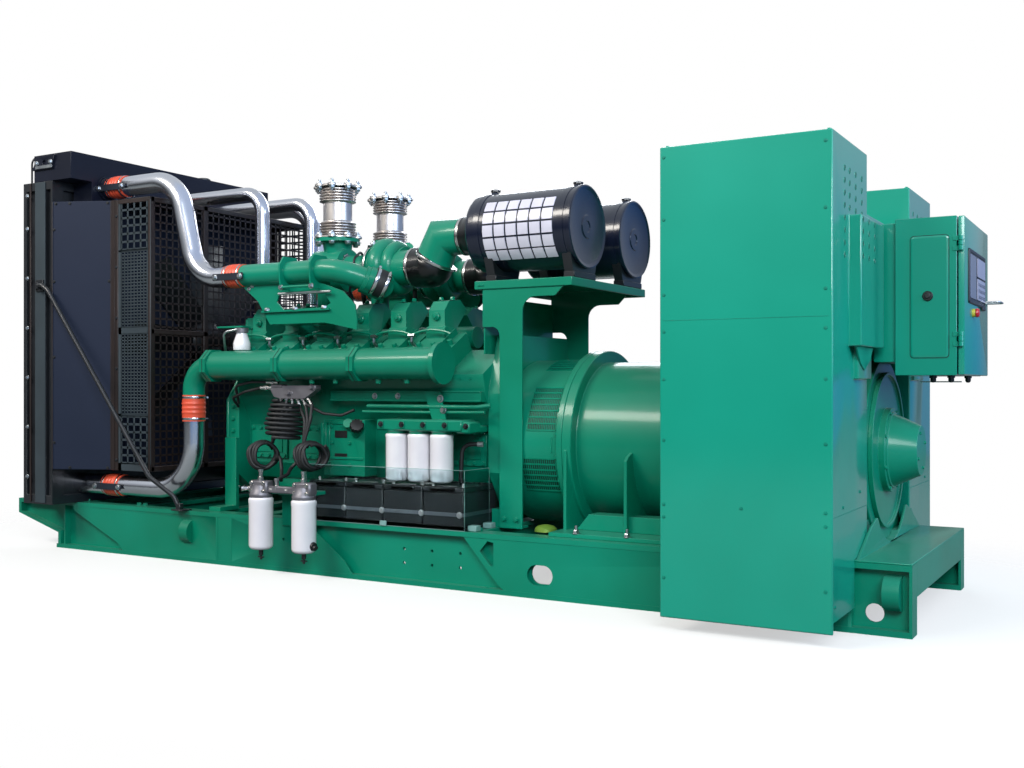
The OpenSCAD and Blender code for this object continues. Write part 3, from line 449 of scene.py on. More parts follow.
# A thin black vent hose loops from the bracket post up over the tank's end.
# Extruded rubber: matt black with a broad, faint sheen.
black_rubber = coat("extruded_black_rubber", "#17181a", "#101113", 0.55, grain=0.0015)
for side, s in both_sides:
    line = route([(-2.41, s * 0.80, 2.21), (-2.41, s * 0.80, 2.40), (-2.37, s * 0.77, 2.40),
            (-2.25, s * 0.70, 2.39)], [0.05, 0.03], 8)
    show("vent_hose_" + side, sweep(line, 0.006, 10, (0.5, 0.9, 0.1)), black_rubber)
    angle = blocks([(-2.30, s * 0.858, 2.30)], [(-2.15, s * 0.8615, 2.318)], 0.002)
    heads = hexes([(x, s * 0.857, 2.335) for x in (-2.29, -2.165)], (0, s, 0), 0.02, 0.012)
    show("eye_bracket_bolts_" + side, joined(angle, heads), zinc)

# --------------------------------------------------------------- fan shroud
# Four tapering panels of folded sheet that narrow from the radiator to the fan guard, screwed
# round their edges and powder coated.
# Slate powder coat: an even blue-grey without highlights.
slate_coat = coat("slate_powder_coat", "#1f273a", "#1a2234", 0.5, spec=0.2, drift=1.2, grain=0.0015, depth=0.00015)
softened("fan_shroud", 0.004, slate_coat, slot="dark_enamel")
for side, s in both_sides:
    t = np.array([0.06, 0.30, 0.94, 0.94, 0.30, 0.03, 0.03, 0.03, 0.03, 0.97, 0.97])
    z = np.array([2.085, 2.085, 2.085, 0.512, 0.512, 1.93, 1.62, 1.17, 0.66, 1.62, 0.9])
    at = points_at(-2.165 + 0.333 * t, s * (0.845 - 0.151 * t), z)
    face = np.array([0.151, s * 0.333, 0])
    show("shroud_screws_" + side, hexes(at, face, 0.013, 0.006), black_enamel)
    hems = [sweep([(x, s * y, 0.502), (x, s * y, 2.095)], 0.0035, 8, (1, 0, 0))
        for x, y in ((-2.163, 0.8463), (-1.832, 0.6953))]
    show("shroud_hems_" + side, joined(*hems), oxide_coat)

# ---------------------------------------------------------------- fan guard
# Posts and rails of folded sheet with punched panels between them: large square holes above and
# below, narrow slots in the middle, and square mesh in front of the fan.


def lattice(x, z, wide, thick, plane, at, along_x, along_z):
    """A punched sheet as its strips: upright ones at each x and level ones at each z, of one width,
    in the plane square to y, or to x where the plane says so."""
    order = {"x": [1, 0, 2], "y": [0, 1, 2]}[plane]
    half = wide / 2
    low = np.concatenate([points_at(x - half, at, along_z[0]), points_at(along_x[0], at, z - half)])
    high = np.concatenate([points_at(x + half, at + thick, along_z[1]),
            points_at(along_x[1], at + thick, z + half)])
    return blocks(low[:, order], high[:, order], 0.0006)


for side, s in both_sides:
    at = -0.6935 if s < 0 else 0.6915
    bands = []
    for z0, z1, columns, rows, wide in ((1.799, 2.079, 4, 6, 0.013), (0.545, 0.819, 4, 6, 0.013),
            (1.344, 1.788, 8, 24, 0.0075), (0.835, 1.303, 8, 25, 0.0075)):
        x, z = np.linspace(-1.745, -1.53, columns + 1), np.linspace(z0, z1, rows + 1)
        bands.append(lattice(x, z, wide, 0.002, "y", at, (-1.75, -1.525), (z0, z1)))
    plain = blocks([(-1.77, at, 1.303), (-1.77, at, 2.079), (-1.77, at, 0.50), (-1.77, at, 0.5),
            (-1.527, at, 0.5), (-1.77, at, 0.819), (-1.77, at, 1.788)],
        [(-1.525, at + 0.002, 1.344), (-1.50, at + 0.002, 2.098), (-1.50, at + 0.002, 0.545),
            (-1.745, at + 0.002, 2.098), (-1.50, at + 0.002, 2.098), (-1.525, at + 0.002, 0.835),
            (-1.525, at + 0.002, 1.799)], 0.0008)
    show("guard_panel_" + side, joined(*bands, plain), grey_coat, ["guard_" + side], slot="dark_enamel")
    y0, y1 = sorted((s * 0.6955, s * 0.664))
    posts = blocks([(-1.832, y0, 0.50), (-1.52, y0, 0.50), (-1.77, y0 + 0.003 * (s < 0), 0.50),
            (-1.77, y0, 2.07)], [(-1.772, y1, 2.098), (-1.502, y1, 2.098), (-1.52, y1, 0.53),
            (-1.52, y1, 2.098)], 0.003)
    seam = blocks([(-1.806, s * 0.6955, 0.502)], [(-1.798, s * 0.6985, 2.096)], 0.001)
    show("guard_posts_" + side, joined(posts, seam), oxide_coat, slot="dark_enamel")
    z = np.array([0.56, 0.8, 1.1, 1.4, 1.7, 2.0])
    show("guard_post_bolts_" + side, hexes(points_at(-1.785, s * 0.6955, z), (0, s, 0), 0.014, 0.007),
        black_enamel)

y = np.arange(-0.66, 0.6601, 0.047)
z = np.arange(0.545, 2.06, 0.047)
mesh_front = lattice(y, z, 0.011, 0.002, "x", -1.508, (-0.66, 0.66), (0.53, 2.07))
show("guard_mesh_front", mesh_front, oxide_coat, ["guard_front"], slot="dark_enamel")
frames = blocks([(-1.525, -0.6935, 0.5), (-1.525, 0.6635, 0.5), (-1.525, -0.275, 0.5), (-1.525, 0.24, 0.5),
        (-1.525, -0.69, 0.5), (-1.525, -0.69, 2.068), (-1.525, -0.69, 1.30), (-1.525, 0.24, 1.30)],
    [(-1.5, -0.6635, 2.098), (-1.5, 0.6935, 2.098), (-1.5, -0.24, 2.098), (-1.5, 0.275, 2.098),
        (-1.5, 0.69, 0.53), (-1.5, 0.69, 2.098), (-1.5, -0.24, 1.33), (-1.5, 0.69, 1.33)], 0.003)
show("guard_frame_front", frames, oxide_coat, slot="dark_enamel")
lids = blocks([(-1.832, -0.664, 2.093), (-1.832, -0.664, 0.502)],
    [(-1.52, 0.664, 2.096), (-1.52, 0.664, 0.505)], 0.001)
show("guard_roof_and_sill", lids, black_enamel)

# ---------------------------------------------------------------------- fan
# Eight twisted blades of pressed steel sheet, riveted to a spider on the drive hub, all sprayed
# black; the hub turns on a shaft from the engine.
# A blade widens and flattens outwards and is dished across: 9 by 9 points on each of its faces.
r = np.linspace(0.11, 0.615, 9)[:, None]
t = np.linspace(-1, 1, 9)
half = 0.085 + 0.02 * (r - 0.11) / 0.5
pitch = np.radians(52 - 26 * (r - 0.11) / 0.5)
faces = [points_at(-1.755 + np.sin(pitch) * half * t - 0.02 * (1 - t**2) + thick, np.cos(pitch) * half * t, r)
    for thick in (-0.003, 0.003)]
blade = skin(np.concatenate([faces[0], faces[1][:, ::-1]], 1))
blades = copies(blade, np.tile((0, 0, 1.29), (8, 1)), spun(np.arange(8) * np.pi / 4))
hub = turned([(0, 0.07), (0.02, 0.13), (0.09, 0.13), (0.12, 0.10), (0.13, 0.045), (0.70, 0.045)],
    (-1.83, 0, 1.29), (1, 0, 0), 32)
show("fan_blades_and_hub", joined(blades, hub), black_enamel, ["fan"], slot="dark_enamel")

# -------------------------------------------------------------------- stays
# A bent round bar each side, from a bracket high on the radiator down to a foot on the skid,
# black enamel; the bends are formed cold and the ends flattened and bolted.
for side, s in both_sides:
    line = route([(-2.245, s * 0.885, 1.598), (-2.215, s * 0.882, 1.60), (-2.16, s * 0.88, 1.565),
            (-1.44, s * 0.76, 0.48), (-1.30, s * 0.705, 0.37), (-1.27, s * 0.692, 0.30)],
        [0.02, 0.08, 0.12, 0.05], 8)
    bar = sweep(line, 0.0135, 14, (0.2, 1, 0))
    lug = blocks([(-2.30, s * 0.852, 1.565), (-2.262, s * 0.862, 1.578), (-1.315, s * 0.715, 0.289),
            (-1.285, s * 0.708, 0.289)], [(-2.232, s * 0.860, 1.635), (-2.236, s * 0.893, 1.618),
            (-1.225, s * 0.640, 0.297), (-1.25, s * 0.68, 0.33)], 0.002)
    nuts = hexes([(-2.285, s * 0.86, 1.612), (-2.285, s * 0.86, 1.585)], (0, s, 0), 0.018, 0.01)
    show("stay_" + side, joined(bar, lug, nuts), black_enamel, ["stays"], slot="dark_enamel")

# --------------------------------------------------------- charge-air pipes
# Bent stainless tube, polished: from the radiator over and under the guard to the engine. Each
# joint is a length of orange silicone hose with steel band clamps and a bridging strap.
# Polished stainless: mirrors the room in long streaks and hardly scatters it.
polished = coat("polished_stainless_tube", "#d9dae0", "#c9cbd3", 0.2, metallic=1.0, drift=0.5, grain=0.0015,
    depth=0.00004)
# Silicone: a strong orange-red with a waxy sheen. Band steel: bright, its mirror a little broken.
silicone = coat("moulded_orange_silicone", "#e2573a", "#d24c31", 0.42, gloss=0.1, drift=0.06, grain=0.0015)
band_steel = coat("stainless_band", "#cfcdcb", "#b7b5b3", 0.22, metallic=1.0, drift=0.05, grain=0.001,
    depth=0.00005)
strap_coat = coat("dark_strap_enamel", "#1c222e", "#151a24", 0.4, drift=0.2)


def clamp(at, along, r, wide, lie=(0, 0, 1), turn=0.0):
    """A worm-drive band round a hose: a thin ring with rolled edges, and its screw housing at a turn."""
    w = frame_of(along, lie)
    half, edge, top = wide / 2, r + 0.0016, r + 0.0022
    ring = [(-half, r), (-half, edge), (-half + 0.002, top), (half - 0.002, top), (half, edge), (half, r)]
    band = turned(ring, at, along, 40)
    c, s = math.cos(turn), math.sin(turn)
    out, on = w[0] * c + w[1] * s, -w[0] * s + w[1] * c
    spot = np.asarray(at, float) + out * (r + 0.007)
    screw = turned([(-0.020, 0.0055), (0.012, 0.0055), (0.012, 0.0075), (0.020, 0.0075)], spot, on, 12)
    return joined(band, screw)


def hose(at, along, r, long):
    """A silicone sleeve with three wrapped ribs: its radius follows a line with small rounded rises."""
    d = np.linspace(-long / 2, long / 2, 37)
    bump = sum(np.exp(-(((d - k * long / 6) / 0.006) ** 2)) for k in (-1, 0, 1))
    return turned(np.stack([d, r + 0.0035 * bump], 1), at, along, 40)


for side, s in both_sides:
    y, high, low, tube = s * 0.58, 2.198, 1.615, 0.0595
    line = route([(-2.0, y, high), (-1.400, y, high), (-1.245, y, low), (-0.958, y, low)], [0.22, 0.22], 14)
    show("upper_charge_pipe_" + side, sweep(line, tube, 40, (0, 1, 0)), polished, ["charge_pipe_" + side],
        slot="stainless")
    flange = turned([(0, 0.075), (0.012, 0.075), (0.012, 0.066), (0.03, 0.064)], (-1.999, y, high), (1, 0, 0), 36)
    heads = hexes(circle(-1.99, (y, high), 0.068, 60 * np.arange(6)), (1, 0, 0), 0.013, 0.007)
    show("tank_outlet_flange_" + side, joined(flange, heads), navy_enamel)
    line = route([(-2.185, s * 0.62, 0.405), (-1.23, s * 0.62, 0.405), (-1.23, s * 0.62, 0.93)], [0.27], 16)
    show("lower_charge_pipe_" + side, sweep(line, tube, 40, (0, 1, 0)), polished, ["lower_pipe_" + side],
        slot="stainless")
    # each joint's middle, direction and length
    spots = (((-1.885, y, high), (1, 0, 0), 0.135), ((-0.935, y, low), (1, 0, 0), 0.125),
        ((-1.87, s * 0.62, 0.405), (1, 0, 0), 0.14), ((-1.23, s * 0.62, 0.872), (0, 0, 1), 0.15))
    show("silicone_hoses_" + side, joined(*[hose(p, a, 0.0645, n) for p, a, n in spots]), silicone)
    middles = [(np.array(p) + np.array(a) * k * (n / 2 - 0.014), a) for p, a, n in spots for k in (-1, 1)]
    bands = [clamp(p, a, 0.0648, 0.013, (0, 1, 0), 1.1) for p, a in middles]
    show("hose_clamps_" + side, joined(*bands), band_steel)
    straps, bolts = [], []
    for (p, _, n), z in zip(spots[:3], (2.19, 1.607, 0.400)):
        x0, x1, y = p[0] - n / 2, p[0] + n / 2, abs(p[1])
        straps.append(blocks([(x0 - 0.055, s * (y + 0.068), z - 0.019)],
                [(x1 + 0.045, s * (y + 0.073), z + 0.019)], 0.001))
        ends = (x0 - 0.035, x1 + 0.025)
        bolts += [(x, s * (y + 0.073), z) for x in ends]
        straps.append(blocks([(x - 0.012, s * (y + 0.055), z - 0.012) for x in ends],
                [(x + 0.012, s * (y + 0.068), z + 0.012) for x in ends], 0.001))
    show("hose_straps_" + side, joined(*straps), strap_coat)
    show("hose_strap_bolts_" + side, hexes(bolts, (0, s, 0), 0.022, 0.012), zinc)

# ------------------------------------------------------------ coolant pipes
# Two thinner polished stainless pipes from the header tank down to the thermostat housing, where a
# clamped black rubber sleeve joins each.
for side, s in both_sides:
    x, y = -1.075, s * 0.221
    line = route([(-2.0, y, 2.15), (x, y, 2.15), (x, y, 1.40)], [0.13], 14)
    show("coolant_pipe_" + side, sweep(line, 0.0415, 32, (0, 1, 0)), polished, ["coolant_pipes"], slot="stainless")
    cuff = turned([(0, 0.047), (0.10, 0.047)], (x, y, 1.41), (0, 0, 1), 32)
    show("coolant_hose_" + side, cuff, black_rubber)
    bands = [clamp((x, y, z), (0, 0, 1), 0.0472, 0.012) for z in (1.425, 1.495)]
    show("coolant_clamps_" + side, joined(*bands), band_steel)

# ------------------------------------------------------------- engine block
# Cast-iron crankcase with machined side covers, a front gear housing and cast feet, all sprayed
# in the set's green after assembly, so bolt heads and covers carry the same enamel.
softened("engine_block", 0.005, green_enamel)
softened("engine_feet", 0.003, green_enamel)
for side, s in both_sides:
    covers, heads = [], []
    for x0, x1 in ((-1.02, -0.75), (-0.72, -0.45), (0.02, 0.28), (0.32, 0.58)):
        covers.append(blocks([(x0, s * 0.372, 0.585), (x0 + 0.035, s * 0.377, 0.62)],
                [(x1, s * 0.358, 0.775), (x1 - 0.035, s * 0.370, 0.74)], 0.004))
        x = np.linspace(x0 + 0.017, x1 - 0.017, 5)
        heads += [(a, s * 0.372, z) for a in x for z in (0.602, 0.758)]
    show("crankcase_covers_" + side, joined(*covers, hexes(heads, (0, s, 0), 0.019, 0.011)), green_enamel,
        slot="green_enamel")
    # cast flange along the top of the crankcase, with its row of set screws
    lip = blocks([(-1.03, s * 0.462, 1.028)], [(0.60, s * 0.440, 1.046)], 0.004)
    row = points_at(np.arange(-0.99, 0.59, 0.0613), s * 0.462, 1.037)
    show("crankcase_lip_" + side, joined(lip, hexes(row, (0, s, 0), 0.016, 0.009)), green_enamel)
    # flange and bolts round the front gear housing
    edge = np.array([(0.330, 0.405), (0.448, 0.492), (0.448, 0.70), (0.448, 0.915), (0.330, 1.075),
            (0.300, 1.24), (0.288, 1.39)])
    rim = sweep(points_at(-1.130, s * edge[:, 0], edge[:, 1]), 0.011, 10, (1, 0, 0))
    ring = [(-1.131, s * 0.430, z) for z in (0.54, 0.64, 0.74, 0.84)] + [(-1.131, s * 0.40, 0.955),
        (-1.131, s * 0.345, 1.03), (-1.131, s * 0.30, 1.16), (-1.131, s * 0.285, 1.28)]
    lugs = [(-1.088, s * 0.450, z) for z in (0.53, 0.60, 0.67, 0.74, 0.81, 0.88)]
    show("gear_housing_bolts_" + side,
        joined(rim, hexes(ring, (-1, 0, 0), 0.022, 0.012), hexes(lugs, (0, s, 0), 0.022, 0.012)), green_enamel)
# damper and fan drive on the front of the engine, about the crankshaft's axis, given by its y and z
axis = (0.0, 0.709)
damper = turned([(0, 0.196), (0.004, 0.202), (0.028, 0.202), (0.031, 0.197), (0.034, 0.202), (0.058, 0.202),
        (0.062, 0.196), (0.062, 0.11)], (-1.194, *axis), (1, 0, 0), 48)
heads = hexes(circle(-1.21, axis, 0.06, 60 * np.arange(6)), (-1, 0, 0), 0.024, 0.014)
show("crank_damper", joined(damper, heads), black_enamel, slot="dark_enamel")
# control housing: ribbed casting with two dark windows and the black oil filler cap on its neck
rib = blocks([(x, -0.468, 0.60) for x in (-0.398, -0.372)] + [(-0.40, -0.466, z) for z in (0.60, 0.79)],
    [(x + 0.009, -0.458, 0.80) for x in (-0.398, -0.372)] + [(-0.14, -0.458, z + 0.014) for z in (0.60, 0.79)],
    0.003)
knob = hexes([(x, -0.461, z) for x in (-0.352, -0.232) for z in (0.78, 0.69, 0.57)], (0, -1, 0), 0.018, 0.009)
neck = turned([(0, 0.030), (0.05, 0.029), (0.052, 0.034), (0.060, 0.034)], (-0.19, -0.455, 0.745),
    (0.45, -0.55, 0.42), 24)
show("control_housing_ribs", joined(rib, knob, neck), green_enamel, slot="green_enamel")
# Nylon mouldings: black with a soft grained sheen.
moulded_black = coat("moulded_black_nylon", "#121315", "#0d0e10", 0.45, grain=0.0012, depth=0.0001)
glass = blocks([(-0.332, -0.4635, 0.717), (-0.332, -0.4635, 0.598)],
    [(-0.249, -0.4600, 0.756), (-0.249, -0.4600, 0.632)], 0.003)
a = 2 * np.pi * np.arange(48) / 48
wave = 0.036 + 0.0022 * np.sign(np.sin(12 * a))
w = frame_of((0.45, -0.55, 0.42), (0, 0, 1))
spot = np.array((-0.19, -0.455, 0.745)) + w[2] * 0.060
rows = [(0.0, 0.9), (0.002, 1.0), (0.030, 1.0), (0.033, 0.93), (0.035, 0.5)]
cap = skin(
    np.stack([spot + w[2] * d + k * wave[:, None] * (np.cos(a)[:, None] * w[0] + np.sin(a)[:, None] * w[1])
            for d, k in rows]))
show("filler_cap_and_windows", joined(glass, cap), moulded_black, slot="black_plastic")
# cable rail below the manifold with its hanger plate
plate = np.array([(0.285, 0.970), (0.383, 0.970), (0.420, 0.826), (0.336, 0.826)])
hanger = skin(np.stack([points_at(plate[:, 0], y, plate[:, 1]) for y in (-0.506, -0.498)]))
rail = blocks([(-0.35, -0.484, 0.965), (-0.35, -0.484, 0.917)], [(0.61, -0.470, 0.973), (0.61, -0.470, 0.926)],
    0.002)
show("rail_hanger", joined(hanger, rail), green_enamel)
large = hexes([(0.386, -0.506, 0.933), (0.404, -0.506, 0.877)], (0, -1, 0), 0.026, 0.014)
small = hexes([(-0.05, -0.478, 0.945), (0.10, -0.478, 0.945)], (0, -1, 0), 0.022, 0.012)
show("rail_bolts_bright", joined(large, small), zinc, slot="stainless")
pipes = [sweep(route(line, [0.03], 6), r, 12, (0, 0, 1)) for line, r in (
    ([(-0.08, -0.50, 0.892), (0.60, -0.50, 0.892), (0.66, -0.47, 0.90)], 0.011),
    ([(-0.12, -0.49, 0.862), (0.30, -0.49, 0.862), (0.64, -0.49, 0.866)], 0.008))]
show("rail_pipes", joined(*pipes), green_enamel)

# ----------------------------------------------------------- cylinder heads
# One casting to a cylinder with a cast rocker cover on top; long cap screws hold both, and a thin
# fuel return pipe dips from head to head below the covers.
softened("cylinder_heads", 0.004, green_enamel)
softened("exhaust_manifold", 0.006, green_enamel)
pitch = 0.245
x = -0.925 + pitch * np.arange(6)
c, v = math.cos(math.radians(30)), math.sin(math.radians(30))
for side, s in both_sides:
    # a bank leans by 30 degrees: y and z at u across the deck and h above it
    at = lambda u, h: (s * (0.390 - u * c + h * v), 1.130 + u * v + h * c)
    y1, z1 = at(-0.085, 0.084)
    y2, z2 = at(-0.062, 0.118)
    screws = [(p + d, y1, z1) for p in x for d in (-0.098, 0.098)]
    more = [(p + d, y2, z2) for p in x for d in (-0.045, 0.045)]
    top = [(p + d, s * 0.315, 1.4495) for p in x for d in (-0.035, 0.035)]
    cover = [(p, s * 0.411, 1.36) for p in x]
    deck = (0, s * v, c)
    rows = [hexes(screws, deck, 0.028, 0.020), hexes(more, deck, 0.024, 0.022),
        hexes(top, (0, -s * 0.12, 1), 0.022, 0.018)]
    show("head_screws_" + side, joined(*rows), green_enamel)
    lobes = [turned([(0, 0.021), (0.010, 0.021), (0.014, 0.016), (0.014, 0.0)], p, (0, s, 0), 16) for p in cover]
    heads = hexes([(p, s * 0.425, z) for p, _, z in cover], (0, s, 0), 0.018, 0.008)
    show("cover_screws_" + side, joined(*lobes, heads), green_enamel)
    # fuel return pipe: a festoon between the heads
    t = np.linspace(-1.02, 0.42, 181)
    dip = 1.262 + 0.026 * np.abs(np.sin(np.pi * (t + 0.802) / pitch)) ** 0.7
    show("return_pipe_" + side, sweep(points_at(t, s * 0.462, dip), 0.0065, 8, (0, 1, 0)), green_enamel)
    spots = -0.802 + pitch * np.arange(5)
    nuts = [turned([(-0.02, 0.011), (0.02, 0.011)], (p, s * 0.462, 1.262), (1, 0, 0), 8) for p in spots]
    lines = [route([(p, s * 0.462, 1.262), (p, s * 0.462, 1.225), (p, s * 0.43, 1.205)], [0.012], 5)
        for p in spots]
    knees = [sweep(line, 0.008, 8, (1, 0, 0)) for line in lines]
    show("return_pipe_unions_" + side, joined(*nuts, *knees), zinc)
    # port bosses bolted down to the manifold
    yb, zb = at(-0.150, 0.102)
    ports = [(p + d, yb, zb) for p in x for d in (-0.036, 0.036)]
    show("port_bolts_" + side, hexes(ports, deck, 0.020, 0.012), zinc)

# ---------------------------------------------------------- inlet manifolds
# Rolled tube in three lengths along each bank, joined by eight-sided coupling flanges with black
# gaskets, lugged below and sprayed with the engine.
for side, s in both_sides:
    softened("manifold_" + side, 0.004, green_enamel)
    y, z = s * 0.62, 1.112
    gasket_and_shadow_gap = [(0.0, 0.090), (0.0, 0.0975), (0.0025, 0.0975), (0.0025, 0.090)]
    gaskets = [turned(gasket_and_shadow_gap, (x0 + 0.0208, y, z), (1, 0, 0), 8, start=math.pi / 8)
        for x0 in (-1.10, -0.575, -0.065)]
    seam = blocks([(-1.05, y - 0.004, z + 0.0785)], [(0.455, y + 0.004, z + 0.0815)], 0.001)
    lug = [turned([(0, 0.016), (0.022, 0.014), (0.024, 0.010)], (p, y, z - 0.078), (0, 0, -1), 12)
        for p in (-0.36, -0.2, 0.08, 0.26)]
    show("manifold_lugs_" + side, joined(seam, *lug), green_enamel)
    show("manifold_gaskets_" + side, joined(*gaskets), black_rubber)

# --------------------------------------------------------- charge-air tubes
# Green tube each side over the rocker covers, with clamped rib plates and a wing bracket cut from
# plate; a black hose joins it to the compressor.
for side, s in both_sides:
    softened("charge_tube_" + side, 0.003, green_enamel)
    # where the tube ends and which way, after a turn of 50 degrees in a plane that dips by 30
    q, tip, bend = math.radians(50), math.radians(30), 0.260
    drop = bend * (1 - math.cos(q))
    end = np.array([-0.275 + bend * math.sin(q), s * (0.580 - drop * math.cos(tip)), 1.615 - drop * math.sin(tip)])
    d = np.array([math.cos(q), -s * math.sin(q) * math.cos(tip), -math.sin(q) * math.sin(tip)])
    sleeve = [(0.025, 0.0625), (0.025, 0.0755), (0.030, 0.0765), (0.060, 0.0775), (0.100, 0.0765),
        (0.105, 0.0755), (0.105, 0.0625)]
    show("charge_tube_end_" + side, turned([(-0.004, 0.0695), (0.040, 0.0695)], end, d, 40), green_enamel)
    show("compressor_hose_" + side, turned(sleeve, end, d, 40), black_rubber, slot="black_rubber")
    bands = [clamp(end + d * k, d, 0.0768, 0.016, turn=turn) for k, turn in ((0.037, 1.2), (0.093, 2.4))]
    show("compressor_hose_clamps_" + side, joined(*bands), band_steel, slot="stainless")
    bar = turned([(0, 0.008), (0.36, 0.008)], (-0.60, s * 0.612, 1.500), (1, 0, 0), 12)
    nuts = hexes([(-0.551, s * 0.650, 1.531), (-0.341, s * 0.650, 1.531)], (0, s, 0), 0.022, 0.012)
    feet = hexes([(p, s * 0.592, 1.412) for p in (-0.70, -0.50, -0.30)], (0, 0, 1), 0.026, 0.016)
    small = hexes([(-0.86, s * 0.586, 1.568), (-0.815, s * 0.586, 1.555), (-0.84, s * 0.586, 1.538)], (0, s, 0),
        0.016, 0.010)
    show("charge_tube_fixings_" + side, joined(bar, nuts, feet, small), zinc)

# ------------------------------------------------------------ turbochargers
# Cast turbine and compressor housings held by band clamps round a centre housing, painted green,
# with oil pipes below; the clamps and studs are bright.
softened("turbochargers", 0.005, green_enamel)
for side, s in both_sides:
    y, z = s * 0.25, 1.65
    bands = [clamp((x0, y, z), (1, 0, 0), r0, 0.012, turn=2.0)
        for x0, r0 in ((-0.207, 0.1285), (-0.400, 0.0815), (-0.072, 0.0925))]
    studs = hexes(circle(-0.609, (y, z), 0.105, 45 * np.arange(8) + 10), (-1, 0, 0), 0.018, 0.014)
    show("turbo_bands_" + side, joined(*bands), band_steel)
    # volute: a tube that narrows along one turn round the compressor
    a = np.linspace(0, 2 * np.pi, 57)
    fat = 0.056 - 0.022 * a / (2 * np.pi)
    b = 2 * np.pi * np.arange(24) / 24
    out = points_at(0.0, -s * np.sin(a + 0.5), np.cos(a + 0.5))
    centre = np.array([-0.055, y, z]) + out * 0.106
    c, t = np.cos(b)[:, None], np.sin(b)[:, None]
    rings = centre[:, None] + fat[:, None, None] * (c * out[:, None] + t * np.array([1, 0, 0]))
    rib = blocks([(-0.215, y - 0.006, z + 0.10)], [(-0.10, y + 0.006, z + 0.158)], 0.003)
    show("turbo_volute_" + side, joined(skin(rings), studs, rib), green_enamel)
    drain = route([(-0.30, y, z - 0.07), (-0.30, y, 1.50), (-0.36, s * 0.14, 1.42), (-0.36, s * 0.10, 1.33)],
        [0.04, 0.04], 7)
    feed = route([(-0.30, y, z + 0.08), (-0.30, y, 1.765), (-0.27, s * 0.37, 1.70), (-0.25, s * 0.44, 1.50),
            (-0.25, s * 0.40, 1.44)], [0.04, 0.05, 0.04], 7)
    oil = [sweep(drain, 0.014, 12, (1, 0, 0)), sweep(feed, 0.007, 10, (1, 0, 0))]
    show("turbo_oil_pipes_" + side, joined(*oil), black_rubber)

# ---------------------------------------------------------- exhaust bellows
# Two-ply stainless expansion pieces: a plain centre tube between two groups of convolutions, and
# lobed flanges with bright bolts.
# Brushed stainless: warm grey, its highlights drawn out by grain that runs round the tube.
brushed = coat("brushed_stainless", "#d6d0cc", "#c4bebb", 0.34, metallic=1.0, grain=0.0012, depth=0.00005,
    smear=(0.1, 0.1, 1))
for side, s in both_sides:
    x, y, z0, high = -0.483, s * 0.25, 1.830, 0.300
    # one convolution, by height and radius; there are five in each group
    wave = ((0, 0.086), (0.0035, 0.097), (0.0062, 0.103), (0.0090, 0.103), (0.0118, 0.097))
    rise = [(0.0, 0.073), (0.012, 0.075)]
    for base in (0.016, 0.204):
        for n in range(5):
            p = base + n * 0.0158
            rise += [(p + d, r) for d, r in wave]
        rise += [(base + 0.081, 0.086)]
    rise = sorted(rise + [(0.101, 0.081), (0.200, 0.081), (0.289, 0.075), (high, 0.073)])
    prof = [(0.0, 0.0645)] + rise + [(high, 0.0645), (0.0, 0.0642)]
    show("bellows_tube_" + side, turned(prof, (x, y, z0), (0, 0, 1), 48), brushed, ["exhaust_bellows"],
        slot="stainless")
    lobes, bolts = [], []
    for h0, h1 in ((0.0, 0.012), (high - 0.012, high)):
        ring = [(h0, 0.0645), (h0, 0.116), (h0 + 0.002, 0.118), (h1 - 0.002, 0.118), (h1, 0.116), (h1, 0.0645)]
        lobes.append(turned(ring, (x, y, z0), (0, 0, 1), 48))
        lobe = [(h0, 0.024), (h0 + 0.002, 0.026), (h1 - 0.002, 0.026), (h1, 0.024)]
        low = h0 - (0.038 if h0 == 0.0 else 0.028)
        stud = [(low, 0.0), (low, 0.006), (low + 0.004, 0.0075), (h1 + 0.026, 0.0075), (h1 + 0.028, 0.0)]
        for b in np.radians(22.5 + 45 * np.arange(8)):
            spot = (x + 0.115 * math.cos(b), y + 0.115 * math.sin(b), z0)
            lobes.append(turned(lobe, spot, (0, 0, 1), 18))
            bolts.append(turned(stud, spot, (0, 0, 1), 10))
            for face, way in ((h0 - 0.001 - (0.020 if h0 == 0.0 else 0), -1), (h1 + 0.001, 1)):
                bolts.append(hexes([(spot[0], spot[1], z0 + face)], (0, 0, way), 0.029, 0.017))
    show("bellows_flanges_" + side, joined(*lobes), brushed)
    show("bellows_bolts_" + side, joined(*bolts), zinc)

# ---------------------------------------------------------------- air ducts
# Black moulded hose from each compressor, a green pressed elbow, and a black cuff on the air
# cleaner, all held by bright band clamps.


def mitred(path, radius, sides):
    """A tube with mitre joints: at each corner its ring lies in the plane that halves it,
    q = p + r (cos t a + sin t b / cos h), a square to the bend's plane and h half of the turn."""
    p = np.asarray(path, float)
    d = np.diff(p, axis=0)
    d /= np.linalg.norm(d, axis=1)[:, None]
    w = np.concatenate([d[:1], d[:-1] + d[1:], d[-1:]])
    w /= np.linalg.norm(w, axis=1)[:, None]
    h = np.concatenate([[1.0], np.einsum("ij,ij->i", w[1:-1], d[1:]), [1.0]])
    a = np.array([0.0, 1.0, 0.0])
    b = np.cross(w, a) / h[:, None]
    t = 2 * np.pi * np.arange(sides) / sides
    r = np.asarray(radius, float)[:, None, None]
    return skin(p[:, None] + r * (np.cos(t)[:, None] * a + np.sin(t)[:, None] * b[:, None]))


